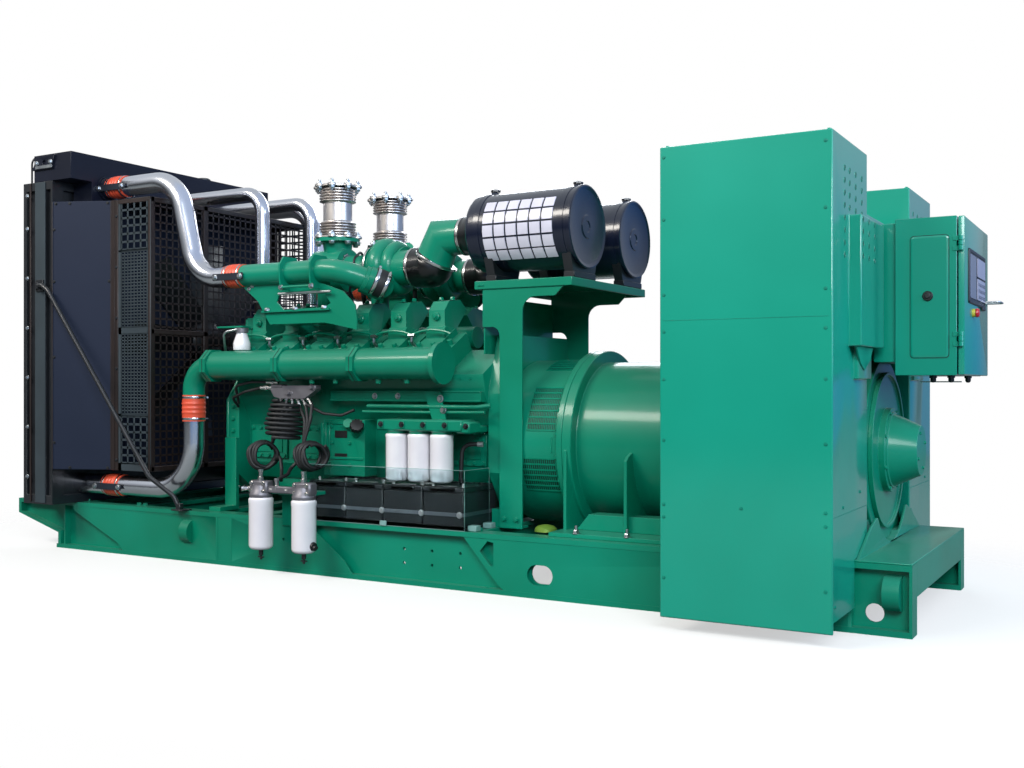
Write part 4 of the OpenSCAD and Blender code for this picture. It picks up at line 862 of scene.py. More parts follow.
# New moulded hose: deep black with a sharp highlight.
shiny_rubber = coat("moulded_epdm_hose", "#0a0a0c", "#060608", 0.3, gloss=0.35, spec=0.4)
for side, s in both_sides:
    y = s * 0.288
    line = route([(0.072, y, 1.635), (0.1885, y, 1.635), (0.2150, y, 1.676)], [0.05], 14)
    t = np.linspace(0, 1, len(line))
    show("inlet_hose_" + side, sweep(line, 0.106 + 0.010 * np.sin(np.pi * t) ** 0.7, 44, (0, 1, 0)),
        shiny_rubber, ["air_ducts"], slot="black_rubber")
    show("inlet_elbow_" + side, mitred([(0.197, y, 1.655), (0.262, y, 1.785), (0.405, y, 1.785)],
            [0.1035, 0.0965, 0.0930], 44), green_enamel, slot="green_enamel")
    show("compressor_inlet_" + side,
        turned([(-0.03, 0.088), (0.0, 0.094), (0.090, 0.094)], (0, y, 1.640), (1, 0, 0), 44), green_enamel)
    cuff = [(0.390, 0.0925), (0.390, 0.0985), (0.416, 0.0995), (0.436, 0.106), (0.464, 0.120), (0.480, 0.125),
        (0.510, 0.126), (0.510, 0.1)]
    show("cleaner_cuff_" + side, turned(cuff, (0, y, 1.785), (1, 0, 0), 48), shiny_rubber)
    spots = [((0.084, y, 1.635), (1, 0, 0), 0.1075), ((0.2085, y, 1.668), (0.5, 0, 0.87), 0.1150),
        ((0.402, y, 1.785), (1, 0, 0), 0.0995)]
    made = [clamp(p, d, r, 0.015, (0, 1, 0), 0.6) for p, d, r in spots]
    show("inlet_clamps_" + side, joined(*made), band_steel)

# ------------------------------------------------------------- air cleaners
# Spun and rolled steel shells in satin blue-black with a panel of pale ribbed filter windows on
# the outer side, carried on saddles and held down by straps with knobs.
# Gloss enamel, phenolic knobs and moulded windows: blue-black that mirrors the lamps, plain
# polished black, and a smooth lilac white.
shell_coat = coat("gloss_blue_black_enamel", "#141b30", "#0f1526", 0.24, gloss=0.45, spec=0.35, drift=0.4,
    grain=0.003, depth=0.0001, dust=0.05)
knob_black = coat("black_phenolic_knob", "#1c1d20", "#141517", 0.3, gloss=0.3, grain=0.001, depth=0.0001)
window_coat = coat("white_moulded_panel", "#d6d4e2", "#c6c4d4", 0.3, gloss=0.2, drift=0.2, depth=0.0001)


def pillow(outline, rows, along=0):
    """A plate or pressed panel: the outline of (first, second) pairs drawn in by an inset at each
    level, as rows of (level, inset); the level lies along the axis given."""
    o = np.asarray(outline, float)
    out = np.roll(o, -1, axis=0) - np.roll(o, 1, axis=0)
    out = np.stack([out[:, 1], -out[:, 0]], -1) / np.linalg.norm(out, axis=1)[:, None]
    return skin(np.stack([np.insert(o - inset * out, along, level, axis=1) for level, inset in rows]))


def curved_band(x, y, z, r, thick, wide):
    """A flat strap round a shell: a ring of the given width and thickness about the line along X."""
    return turned([(-wide / 2, r), (-wide / 2 + 0.001, r + thick), (wide / 2 - 0.001, r + thick),
            (wide / 2, r)], (x, y, z), (1, 0, 0), 64)


for side, s in both_sides:
    y, z = s * 0.288, 1.785
    strap_x, saddle_x = (0.585, 1.062), (0.628, 1.071)
    # a cell: an arc of the shell's radius, one column wide and one row high, with square edges
    a = np.radians(np.linspace(-7.8, 7.8, 7))
    ring = np.array([(-0.0287, 0.2025), (-0.0287, 0.2062), (-0.0277, 0.2072), (0.0277, 0.2072),
            (0.0287, 0.2062), (0.0287, 0.2025)])
    cell = skin(points_at(ring[:, 0], s * ring[:, 1] * np.cos(a)[:, None], ring[:, 1] * np.sin(a)[:, None]))
    col, row = np.meshgrid(np.arange(6), np.arange(5))
    turn = s * np.radians(-41.0 + 18.4 * row.ravel())
    places = points_at(0.6565 + 0.0672 * col.ravel(), y, z)
    show("filter_windows_" + side, copies(cell, places, spun(turn)), window_coat, slot="white_enamel")
    # shell: a pressed cone at the engine end, the rolled body, a rolled rim and the dished end lid
    body = [(0.503, 0.100), (0.505, 0.145), (0.510, 0.178), (0.518, 0.193), (0.529, 0.2005), (0.540, 0.2025),
        (1.094, 0.2025), (1.096, 0.2065), (1.104, 0.2075), (1.114, 0.2065), (1.116, 0.200), (1.112, 0.188),
        (1.110, 0.182), (1.110, 0.060), (1.114, 0.056), (1.114, 0.030), (1.110, 0.026), (1.110, 0.0)]
    show("cleaner_shell_" + side, turned(body, (0, y, z), (1, 0, 0), 72), shell_coat, ["air_cleaners"]
        if s < 0 else (), crease=28, slot="dark_enamel")
    hold = [curved_band(x, y, z, 0.2035, 0.0022, 0.032) for x in strap_x]
    hold += [blocks((x - 0.016, y - 0.024, 1.982), (x + 0.016, y + 0.024, 1.995), 0.003) for x in strap_x]
    legs = [blocks((x - 0.030, y - 0.120, 1.5285), (x + 0.030, y + 0.120, 1.560), 0.003) for x in saddle_x]
    for x in saddle_x:
        t = np.radians(np.linspace(222, 318, 13))
        dip = np.stack([y + 0.201 * np.cos(t), z + 0.201 * np.sin(t)], -1)
        saddle = np.concatenate([[(y - 0.118, 1.556), (y - 0.148, 1.640)], dip,
                [(y + 0.148, 1.640), (y + 0.118, 1.556)]])
        legs.append(pillow(saddle, [(x - 0.024, 0), (x + 0.024, 0)]))
    show("cleaner_straps_" + side, joined(*hold), shell_coat)
    show("cleaner_saddles_" + side, joined(*legs), black_enamel)
    grip = [(0.0, 0.022), (0.003, 0.025), (0.012, 0.025), (0.015, 0.018)]
    knobs = [joined(turned([(0, 0.008), (0.012, 0.008)], (x, y, 1.990), (0, 0, 1), 12),
            turned(grip, (x, y, 1.998), (0, 0, 1), 6)) for x in strap_x]
    show("cleaner_knobs_" + side, joined(*knobs), knob_black, slot="black_plastic")

# ---------------------------------------------------------- shelf and posts
# Folded 8 mm plate shelf on two flame-cut posts with a back panel and foot plates between them,
# bolted to the skid and to the flywheel housing.
softened("cleaner_shelf", 0.003, green_enamel)


def cut(corners, bends):
    """A flame-cut outline of (x, z) corners, each rounded by its own bend radius."""
    c = np.asarray(corners, float)
    first = (c[0] + c[-1]) / 2
    line = route([(x, 0, z) for x, z in (first, *c, first)], bends, 7)
    return line[:-1][:, [0, 2]]


# the outline of a post: a tall leg, a shoulder to the engine side and a shelf bearer
corners = [(0.596, 1.519), (0.596, 1.296), (0.695, 1.296), (0.695, 0.2885), (0.826, 0.2885), (0.826, 1.441),
    (1.008, 1.441), (1.052, 1.485), (1.052, 1.519)]
outline = cut(corners, [0.003, 0.004, 0.045, 0.003, 0.003, 0.07, 0.003, 0.003, 0.003])
plates = [pillow(outline, [(y0, 0), (y1, 0)], 1) for y0, y1 in ((-0.4365, -0.428), (0.300, 0.3085))]
back = blocks((0.598, -0.429, 1.16), (0.606, 0.301, 1.452), 0.001)
webs = blocks([(0.700, -0.4375, 0.2885), (0.700, 0.2995, 0.2885)],
    [(0.820, -0.365, 0.302), (0.820, 0.372, 0.302)], 0.002)
show("shelf_posts", joined(*plates, back, webs), green_enamel, ["stand_posts"], crease=30)
heads = hexes([(x, -0.4375, 0.335) for x in (0.725, 0.795)], (0, -1, 0), 0.022, 0.013)
show("post_bolts", joined(
        heads, hexes([(0.578, -0.4455, 1.507), (0.602, -0.4455, 1.507), (0.590, -0.4455, 1.507)], (0, -1, 0),
            0.010, 0.005)), green_enamel)

# -------------------------------------------------------------- oil filters
# Three spin-on canisters with rolled seams below a cast head on the near side of the engine; a
# drain hose leaves it at one end.
# Baked enamel: clean white with a soft highlight.
white_enamel = coat("white_baked_enamel", "#f3f1f6", "#e9e6ee", 0.22, gloss=0.3, drift=0.2, grain=0.003,
    depth=0.00005)
oil_x = [0.170 + 0.137 * k for k in range(3)]
can = [(0.0, 0.0), (0.0, 0.030), (0.003, 0.046), (0.010, 0.0555), (0.018, 0.0585), (0.222, 0.0585),
    (0.226, 0.0600), (0.238, 0.0600), (0.243, 0.0570), (0.245, 0.045)]
cans = [turned(can, (x, -0.580, 0.512), (0, 0, 1), 40) for x in oil_x]
show("oil_canisters", joined(*cans), white_enamel, ["oil_filters"], slot="white_enamel")
bar = blocks([(0.080, -0.640, 0.772), (0.080, -0.505, 0.760), (0.56, -0.632, 0.764)],
    [(0.600, -0.500, 0.829), (0.600, -0.360, 0.798), (0.640, -0.52, 0.822)], 0.008)
domes = [turned([(0.0, 0.046), (0.004, 0.050), (0.012, 0.050), (0.020, 0.058), (0.032, 0.058)],
        (x, -0.580, 0.752), (0, 0, 1), 32) for x in oil_x]
pad_x = 0.113 + 0.13 * np.arange(4)
pads = blocks(points_at(pad_x - 0.015, -0.646, 0.785), points_at(pad_x + 0.015, -0.636, 0.822), 0.004)
show("oil_filter_head", joined(bar, *domes, pads), green_enamel, slot="green_enamel")
show("oil_head_screws", hexes([(x, -0.646, 0.804) for x in pad_x] + [(0.618, -0.632, 0.80)], (0, -1, 0), 0.020,
        0.012), black_enamel)
line = sweep(route([(0.62, -0.47, 0.705), (0.515, -0.50, 0.705), (0.505, -0.50, 0.52)], [0.05], 8), 0.011, 14,
    (0, 1, 0))
nut = turned([(0, 0.014), (0.03, 0.014)], (0.62, -0.468, 0.705), (-1, -0.28, 0), 8)
show("oil_drain_hose", joined(line, sweep([(0.505, -0.50, 0.53), (0.52, -0.51, 0.507)], 0.011, 14, (0, 1, 0))),
    black_rubber)
show("oil_drain_nut", nut, zinc)

# ----------------------------------------------------------- coolant filter
# A small white canister screwed up into a die-cast head beside the gear housing, with one thin
# plated pipe to the engine.
can = [(0.0, 0.0), (0.0, 0.034), (0.006, 0.045), (0.012, 0.0475), (0.045, 0.0475), (0.098, 0.030), (0.106, 0.030)]
show("coolant_canister", turned(can, (-0.919, -0.560, 1.194), (0, 0, 1), 32), white_enamel)
top = turned([(0, 0.038), (0.026, 0.038), (0.030, 0.020)], (-0.919, -0.560, 1.298), (0, 0, 1), 24)
# Die casting: mid grey, half metal, slightly rough.
grey_casting = coat("grey_die_casting", "#7c7a80", "#6a686e", 0.42, metallic=0.55, depth=0.0003)
show("coolant_filter_head", top, grey_casting)
tube = sweep(route([(-0.919, -0.598, 1.315), (-1.00, -0.62, 1.30), (-1.045, -0.56, 1.20), (-1.02, -0.50, 1.12)],
        [0.04, 0.04], 8), 0.007, 10, (0.1, 0.2, 1))
show("coolant_filter_pipe", tube, zinc)

# ------------------------------------------------------------- fuel filters
# Two white canisters below grey cast heads on a bracket outside the rail, with shut-off valves,
# drains and a water sensor; a grey fuel block with six unions hangs below the manifold.
can_x = (-0.555, -0.262)
can = [(0.0, 0.0), (0.0, 0.028), (0.004, 0.051), (0.014, 0.0610), (0.024, 0.0640), (0.245, 0.0640),
    (0.250, 0.0660), (0.268, 0.0660), (0.277, 0.058)]
cans = [turned(can, (x, -0.80, 0.135), (0, 0, 1), 40) for x in can_x]
show("fuel_canisters", joined(*cans), white_enamel, ["fuel_filters"], slot="white_enamel")
head = [(0.0, 0.058), (0.012, 0.062), (0.020, 0.062), (0.036, 0.050), (0.066, 0.044), (0.072, 0.036)]
heads = [turned(head, (x, -0.80, 0.410), (0, 0, 1), 28) for x in can_x]
bodies = blocks([(x - 0.060, -0.828, 0.432) for x in can_x] + [(-0.50, -0.815, 0.438)],
    [(x + 0.062, -0.765, 0.500) for x in can_x] + [(-0.32, -0.785, 0.474)], 0.008)
show("fuel_heads", joined(*heads, bodies), grey_casting)
bracket = blocks([(-0.60, -0.790, 0.43), (-0.52, -0.676, 0.25)], [(-0.22, -0.675, 0.45), (-0.32, -0.664, 0.45)],
    0.003)
show("fuel_bracket", bracket, green_enamel, slot="green_enamel")
union = [(0, 0.017), (0.02, 0.017), (0.022, 0.012), (0.045, 0.012), (0.047, 0.015), (0.06, 0.015)]
ends = [turned(union, p, d, 8) for p, d in (
    ((-0.615, -0.80, 0.456), (-1, 0, 0)), ((-0.615, -0.80, 0.456), (-0.6, -0.8, 0)),
    ((-0.485, -0.80, 0.456), (1, 0, 0)), ((-0.36, -0.80, 0.456), (-1, 0, 0)),
    ((-0.445, -0.80, 0.456), (0, 0, 1)), ((-0.555, -0.80, 0.498), (0, 0, 1)),
    ((-0.262, -0.80, 0.498), (0, 0, 1)))]
places = [(x + d, -0.829, z) for x in can_x for d in (-0.04, 0.04) for z in (0.445, 0.487)]
show("fuel_unions", joined(*ends, hexes(places, (0, -1, 0), 0.016, 0.009)), band_steel)
cock = [(0, 0.012), (0.03, 0.012), (0.034, 0.007), (0.055, 0.007)]
levers = [blocks([(x - 0.02, -0.804, 0.092)], [(x + 0.02, -0.796, 0.099)], 0.001) for x in can_x]
cocks = [joined(turned(cock, (x, -0.80, 0.137), (0, 0, -1), 12), lever) for x, lever in zip(can_x, levers)]
sensor = turned([(0, 0.022), (0.035, 0.022), (0.038, 0.014), (0.05, 0.014)], (-0.224, -0.80, 0.186),
    (0.9, -0.1, -0.4), 20)
show("fuel_drains", joined(*cocks, sensor), moulded_black)
shape = [(-0.670, 0.985), (-0.640, 0.940), (-0.600, 0.930), (-0.430, 0.930), (-0.400, 0.945), (-0.352, 0.975),
    (-0.352, 1.000), (-0.650, 1.000)]
block = pillow(shape, [(-0.606, 0), (-0.560, 0)], 1)
lugs = blocks([(-0.66, -0.610, 0.990), (-0.39, -0.610, 0.978), (-0.565, -0.609, 0.948)],
    [(-0.58, -0.56, 1.006), (-0.345, -0.56, 1.004), (-0.505, -0.56, 0.972)], 0.004)
heads = hexes([(-0.535, -0.609, 0.960), (-0.372, -0.610, 0.991)], (0, -1, 0), 0.022, 0.012)
show("fuel_block", joined(block, lugs, heads), grey_casting)
x = np.array([-0.600, -0.563, -0.526, -0.489, -0.452, -0.415])
lean = np.array([(0.25 * (k - 1.5), -0.12, -1) for k in range(6)])
union = [(0, 0.013), (0.012, 0.013), (0.014, 0.009), (0.030, 0.009), (0.032, 0.012), (0.045, 0.012)]
unions = [turned(union, (p, -0.585, 0.932), d, 8) for p, d in zip(x, lean)]
union = [(0, 0.011), (0.03, 0.011), (0.032, 0.015), (0.05, 0.015), (0.052, 0.010), (0.085, 0.010)]
left = [turned(union, p, (-1, 0, 0), 8) for p in ((-0.612, -0.60, 1.020), (-0.655, -0.60, 0.988))]
show("fuel_block_unions", joined(*unions, *left), band_steel)


def coil(middle, axis, across, radius, turns, long, wire, taper, phase=0.0):
    """Loops of hose: a helix round an axis whose radius falls by a taper from end to end."""
    t = np.linspace(0, 1, int(turns * 28) + 1)
    a = 2 * np.pi * turns * t + phase
    w = frame_of(axis, across)
    r = radius * (1 - taper * np.abs(2 * t - 0.7))
    wob = 0.05 * radius * np.sin(3.1 * a)
    u, v, d = np.cos(a) * (r + wob), np.sin(a) * r, long * (t - 0.5)
    path = np.asarray(middle) + u[:, None] * w[0] + v[:, None] * w[1] + d[:, None] * w[2]
    return sweep(path, wire, 10, w[2])


wire = 0.0095
loops = [
    coil((-0.545, -0.625, 0.815), (0.05, 0.1, 1), (1, 0, 0), 0.102, 8, 0.20, wire, 0.25),
    coil((-0.680, -0.640, 0.622), (1, -0.55, 0), (0, 0, 1), 0.074, 4, 0.10, wire, 0.12, 0.4),
    coil((-0.690, -0.640, 0.620), (1, -0.9, 0.1), (0, 0, 1), 0.078, 2, 0.16, wire, 0.1, 1.4),
    coil((-0.345, -0.640, 0.625), (1, -0.55, 0), (0, 0, 1), 0.076, 4, 0.11, wire, 0.12, 2.0),
    coil((-0.350, -0.640, 0.624), (1, -0.2, 0.1), (0, 0, 1), 0.072, 2, 0.15, wire, 0.1, 0.9),
]
for k in range(6):
    # the first three hoses run down to the left-hand loops and the others to the right-hand ones
    top = np.array((x[k], -0.585, 0.932)) + lean[k] / np.linalg.norm(lean[k]) * 0.045
    low = (-0.60 + 0.02 * k, -0.64, 0.82) if k < 3 else (-0.47 + 0.02 * k, -0.62, 0.82)
    end = (-0.62, -0.64, 0.69) if k < 3 else (-0.40, -0.64, 0.69)
    loops.append(sweep(route([top, low, end], [0.06], 6), wire, 10, (0.3, 1, 0)))
for corners, bends in (
    ([(-0.60, -0.64, 0.60), (-0.545, -0.66, 0.62), (-0.50, -0.70, 0.55), (-0.45, -0.76, 0.50)], [0.04, 0.05]),
    ([(-0.44, -0.63, 0.60), (-0.47, -0.66, 0.56), (-0.44, -0.72, 0.53), (-0.44, -0.79, 0.51)], [0.03, 0.04]),
):
    loops.append(sweep(route(corners, bends, 7), wire, 10, (0.3, 0.2, 1)))
for corners in (
    [(-0.695, -0.60, 1.020), (-0.80, -0.61, 1.020), (-0.93, -0.60, 1.00), (-0.98, -0.52, 0.90)],
    [(-0.74, -0.60, 0.988), (-0.86, -0.60, 0.965), (-1.0, -0.55, 0.93), (-1.02, -0.48, 0.88)],
    [(-0.42, -0.60, 0.90), (-0.33, -0.56, 0.85), (-0.24, -0.52, 0.84), (-0.17, -0.50, 0.87)],
):
    loops.append(sweep(route(corners, [0.06, 0.06], 8), 0.008, 10, (0.1, 0.3, 1)))
show("fuel_hoses", joined(*loops), black_rubber, slot="black_rubber")

# ---------------------------------------------------------------- batteries
# Four moulded polypropylene cases in a tray, held by a galvanised strap, behind bent clear
# polycarbonate that stands on the rail's flange.
# Moulded polypropylene: very dark grey, evenly dull.
case_black = coat("moulded_polypropylene", "#26282d", "#1f2025", 0.36, drift=0.2, depth=0.0001)
x = -0.350 + 0.243 * np.arange(4)
cases = blocks(points_at(x, -0.652, 0.300), points_at(x + 0.238, -0.330, 0.474), 0.006)
lids = blocks(points_at(x - 0.001, -0.6535, 0.4745), points_at(x + 0.239, -0.3285, 0.500), 0.004)
caps = [turned([(0, 0.016), (0.004, 0.017), (0.007, 0.015)], (p + 0.035 + 0.034 * k, -0.42, 0.499), (0, 0, 1),
        12) for p in x for k in range(6)]
grips = blocks(points_at(x + 0.05, -0.660, 0.478), points_at(x + 0.19, -0.652, 0.494), 0.003)
tray = blocks([(-0.360, -0.658, 0.289), (-0.360, -0.660, 0.289)],
    [(0.626, -0.325, 0.300), (0.626, -0.654, 0.312)], 0.001)
show("battery_cases", joined(cases, lids, *caps, grips, tray), case_black, ["batteries"], slot="black_plastic")
posts = [turned([(0, 0.010), (0.018, 0.009)], (p + d, -0.60, 0.499), (0, 0, 1), 12) for p in x
    for d in (0.03, 0.208)]
links = blocks(points_at(x[:3] + 0.195, -0.612, 0.508), points_at(x[:3] + 0.287, -0.588, 0.513), 0.001)
plates = blocks(points_at(x + 0.06, -0.606, 0.4995), points_at(x + 0.17, -0.585, 0.503), 0.001)
show("battery_links", joined(*posts, links, plates), band_steel)
strap = blocks([(-0.360, -0.6595, 0.358), (0.6205, -0.6595, 0.358)],
    [(0.6215, -0.6555, 0.376), (0.6235, -0.325, 0.376)], 0.0008)
# Galvanised steel: a dull bluish grey.
galvanised = coat("galvanised_strap", "#8b8d96", "#757780", 0.4, metallic=0.8, depth=0.0001)
show("battery_strap", strap, galvanised)
show("strap_bolts", hexes([(p, -0.6595, 0.367) for p in (-0.112, 0.131, 0.374, 0.600)], (0, -1, 0), 0.022,
        0.010), zinc)
# Clear polycarbonate: nearly colourless through the face; the pale green-blue light at its cut edges is painted on
# separately.
clear = bpy.data.materials.new("clear_polycarbonate")
clear.use_nodes = True
tree = clear.node_tree
shader = tree.nodes["Principled BSDF"]
where = add(tree, "ShaderNodeTexCoord").outputs["Object"]
haze = add(tree, "ShaderNodeTexNoise", {"Vector": where, "Scale": 9.0, "Detail": 2.0})
rub = add(tree, "ShaderNodeMapRange", {"Value": haze.outputs["Fac"], "To Min": 0.02, "To Max": 0.10})
tint = add(tree, "ShaderNodeMix", {0: haze.outputs["Fac"], 6: linear("#d3e2e4"), 7: linear("#e2ecee")},
    data_type="RGBA")
tree.links.new(tint.outputs[2], shader.inputs["Base Color"])
tree.links.new(rub.outputs[0], shader.inputs["Roughness"])
shader.inputs["Transmission Weight"].default_value = 1.0
shader.inputs["IOR"].default_value = 1.12
sheet = blocks([(-0.365, -0.663, 0.289)], [(0.632, -0.660, 0.585)], 0.0008)
show("screen_front", sheet, clear, ["battery_screen"], slot="clear_sheet")
sheet = blocks([(-0.365, -0.660, 0.289), (0.629, -0.660, 0.289)],
    [(-0.362, -0.464, 0.585), (0.632, -0.430, 0.585)], 0.0008)
show("screen_side_sheets", sheet, clear, ["screen_ends"], slot="clear_sheet")
# the cut edges: thin pale beads along the top, the corners and the foot, a painted highlight where the edges catch
# the light
edge_light_paint = coat("painted_edge_light", "#7fa6a4", "#6c9492", 0.35, drift=0.3, depth=0.0001)
beads = [sweep([a, b], 0.0013, 6, (0.3, 0.5, 0.2))
    for a, b in (((-0.365, -0.6615, 0.585), (0.6305, -0.6615, 0.585)),
        ((0.6305, -0.6615, 0.29), (0.6305, -0.6615, 0.585)),
        ((-0.3635, -0.6615, 0.29), (-0.3635, -0.6615, 0.585)),
        ((0.6305, -0.6615, 0.585), (0.6305, -0.430, 0.585)), ((0.6305, -0.430, 0.29), (0.6305, -0.430, 0.585)),
        ((-0.3635, -0.6615, 0.585), (-0.3635, -0.464, 0.585)),
        ((-0.365, -0.6625, 0.2905), (0.6305, -0.6625, 0.2905)))]
show("screen_edges", joined(*beads), edge_light_paint)
# the clips at the foot in the same pale colour as the painted edge light
clip = blocks([(0.634, -0.640, 0.289), (0.634, -0.500, 0.289), (0.125, -0.672, 0.289)],
    [(0.684, -0.595, 0.317), (0.684, -0.455, 0.317), (0.165, -0.6635, 0.315)], 0.003)
show("screen_clips", clip, edge_light_paint)

# ------------------------------------------------------------------ adapter
# Flywheel housing and fan shell between engine and alternator: a rolled steel drum, green, with
# punched louvre panels that let the cooling air out and a bolted flange at the alternator end.
softened("adapter", 0.003, green_enamel)
# The same green in the shade of an opening: so dark that it reads as a hole.
dark_enamel = coat("shaded_green_enamel", "#06372f", "#042620", 0.5, spec=0.3, drift=0.2, grain=0.003)


def curved(x0, x1, a0, a1, r0, r1, centre, steps):
    """A block bent about the line along X through centre (y, z): between two angles in degrees and two
    radii, y = cy + r cos(a), z = cz + r sin(a)."""
    corners = ((x0, r0), (x1, r0), (x1, r1), (x0, r1))
    return skin(np.stack([circle(x, centre, r, np.linspace(a0, a1, steps)) for x, r in corners], 1))


backs, slats = [], []
for low, high, x0, rows in ((139, 170.4, 0.845, 7), (189.3, 212.6, 0.812, 6), (96, 120, 0.845, 6)):
    for turn in (1, -1):
        a, b = (low, high) if turn > 0 else (180 - high, 180 - low)
        backs.append(curved(x0, 1.0, a, b, 0.4245, 0.4256, axis, 10))
        pitch = (b - a) / rows
        for at in a + pitch * np.arange(rows + 1):
            slats.append(curved(x0 - 0.003, 1.003, at - 0.5, at + 0.5, 0.4246, 0.4285, axis, 3))
        for x in np.linspace(x0, 1.0, 17):
            slats.append(curved(x - 0.0019, x + 0.0019, a, b, 0.4246, 0.4268, axis, 10))
show("adapter_louvre_openings", joined(*backs), dark_enamel)
# Enamel sprayed thin on the slats: the green of the set without its gloss.
louvre_coat = coat("thinly_sprayed_green_enamel", "#038066", "#036f54", 0.6, spec=0.15, drift=0.2, grain=0.003,
    depth=0.0001)
show("adapter_louvres", joined(*slats), louvre_coat)
# strap hinges between the panels, and the flange bolts
hinge = joined(*[blocks((x - 0.004, s * 0.428, 0.672), (x + 0.004, s * 0.420, 0.748), 0.001)
        for x in (0.802, 0.982) for s in (1, -1)])
show("adapter_straps", hinge, green_enamel)
bolts = hexes(circle(1.0295, axis, 0.448, np.arange(7.5, 360, 15)), (-1, 0, 0), 0.022, 0.012)
show("adapter_flange_bolts", bolts, green_enamel, crease=25)

# --------------------------------------------------------------- alternator
# Four-pole alternator: rolled steel barrel with a bolted drive flange, upright side plates that
# carry it on its feet, terminal housings over it and a domed exciter cover at the free end.
barrel = [(1.060, 0.300), (1.060, 0.466), (1.064, 0.470), (1.106, 0.470), (1.110, 0.466), (1.110, 0.412),
    (1.113, 0.410), (2.474, 0.410), (2.478, 0.406), (2.478, 0.300)]
show("alternator_barrel", turned(barrel, (0, *axis), (1, 0, 0), 96), green_enamel, ["alternator"], crease=30)
foot = []
for s in (1, -1):
    for x, top in ((1.083, 0.705), (1.400, 0.665), (1.720, 0.665)):
        side = [(0.10, 0.306), (0.475, 0.306), (0.475, top - 0.02), (0.455, top), (0.36, top + 0.037),
            (0.10, 0.50)]
        levels = [(x - 0.008, 0.001), (x - 0.007, 0), (x + 0.007, 0), (x + 0.008, 0.001)]
        foot.append(pillow([(s * y, z) for y, z in side][::s], levels))
    foot.append(blocks((1.060, s * 0.60, 0.288), (1.795, s * 0.33, 0.308), 0.002))
    foot.append(pillow([(1.135, 0.308), (1.795, 0.308), (1.795, 0.384), (1.195, 0.384)],
            [(s * 0.445, 0.002), (s * 0.443, 0), (s * 0.34, 0)], 1))
show("alternator_feet", joined(*foot), green_enamel)
# yellow-passivated earth bosses on the skid deck beside the drum
lug_coat = coat("yellow_passivated_steel", "#7c9a35", "#5d8a3c", 0.4, metallic=0.3)
boss = [turned([(0.0, 0.056), (0.014, 0.054), (0.026, 0.040), (0.032, 0.016), (0.033, 0.0)],
        (0.955, s * 0.43, 0.287), (0, 0, 1), 32) for s in (1, -1)]
show("earth_bosses", joined(*boss), lug_coat)

# ----------------------------------------------------------- alternator end
# Recessed end disc inside a rolled rim, and over the exciter a turned flange with a tapered sheet
# cover, all green; the flange and the cover's end plate are held by small hexagon screws.
softened("end_cone", 0.002, green_enamel)
outer = hexes(circle(2.5139, axis, 0.181, np.arange(22.5, 360, 45)), (1, 0, 0), 0.014, 0.007)
inner = hexes(circle(2.6369, axis, 0.085, np.arange(22.5, 360, 90)), (1, 0, 0), 0.012, 0.006)
show("exciter_screws", joined(outer, inner), green_enamel, crease=25)

# ----------------------------------------------------------------- cabinets
# Two tall sheet-steel cabinets, one each side of the alternator end: folded and welded, sprayed
# a smoother, bluer green, with screwed covers, punched vent holes and a fold line round the base.
cabinet_enamel = coat("smooth_cabinet_enamel", "#07917a", "#05866f", 0.32, gloss=0.9, spec=0.2, drift=1.1,
    grain=0.004, depth=0.0001, dent=0.001, dust=0.04)
for name in ("cabinet_near", "cabinet_far"):
    softened(name, 0.005, cabinet_enamel)
seam, screws, vents = [], [], []
for s in (1, -1):
    seam += [blocks((1.815, -s * 1.0188, 1.2622), (2.483, -s * 1.016, 1.2652), 0.0005),
             blocks((2.4975, -s * 1.010, 0.4975), (2.4997, -s * 0.462, 0.5005), 0.0005)]
    heights = (0.22, 0.467, 0.518, 0.778, 1.026, 1.219, 1.368, 1.674, 1.927)
    outer = [(x, -s * 1.0179, z) for x in (1.817, 2.472) for z in heights] + [(2.142, -s * 1.0179, 0.518)]
    end = [(2.4989, s * y, z) for y, z in ((-0.581, 0.565), (-0.863, 0.526), (-0.985, 0.16), (-0.49, 0.39))]
    screws += [hexes(outer, (0, -s, 0), 0.010, 0.004), hexes(end, (1, 0, 0), 0.010, 0.004)]
    y, z = np.meshgrid((-0.835, -0.755, -0.655, -0.55), 1.852 - 0.0487 * np.arange(8), indexing="ij")
    out = (z < 1.675) & (y > -0.78)
    vents.append(points_at(np.where(out, 2.5512, 2.4992), s * y, z).reshape(-1, 3))
# Enamel a shade darker than the sheet round it: the dark line of the seams, and painted shade on the screw heads
# for the dents they sit in.
dark_seam_and_screw_shade_coat = coat("dark_seam_and_screw_shade_enamel", "#05806b", "#04705d", 0.4, spec=0.3, drift=0.3, grain=0.003, depth=0.0001)
show("cabinet_seams", joined(*seam), dark_seam_and_screw_shade_coat)
show("cabinet_screws", joined(*screws), dark_seam_and_screw_shade_coat, crease=25)
rim = turned([(-0.001, 0.0135), (0.0012, 0.0128), (0.0012, 0.0112), (-0.001, 0.0105)], along=(1, 0, 0), sides=14)
hole = turned([(-0.0014, 0.0110), (0.0002, 0.0110)], along=(1, 0, 0), sides=14)
show("cabinet_vent_rims", copies(rim, np.concatenate(vents)), cabinet_enamel)
show("cabinet_vents", copies(hole, np.concatenate(vents)), dark_enamel)
at = [(x, s * y, 1.9699) for x in (1.822, 2.478) for y in (-0.99, -0.48) for s in (1, -1)]
show("cabinet_roof_screws", hexes(at, (0, 0, 1), 0.017, 0.008), cabinet_enamel, crease=25)

# ------------------------------------------------------------- terminal box
# Folded steel duct that joins the two cabinets over the alternator and carries the control box,
# screwed down at its corners.
softened("terminal_box", 0.003, cabinet_enamel)
at = [(x, y, 1.7199) for x in (1.875, 2.475) for y in (-0.43, 0.43)]
show("duct_screws", hexes(at, (0, 0, 1), 0.02, 0.009), cabinet_enamel, crease=25)
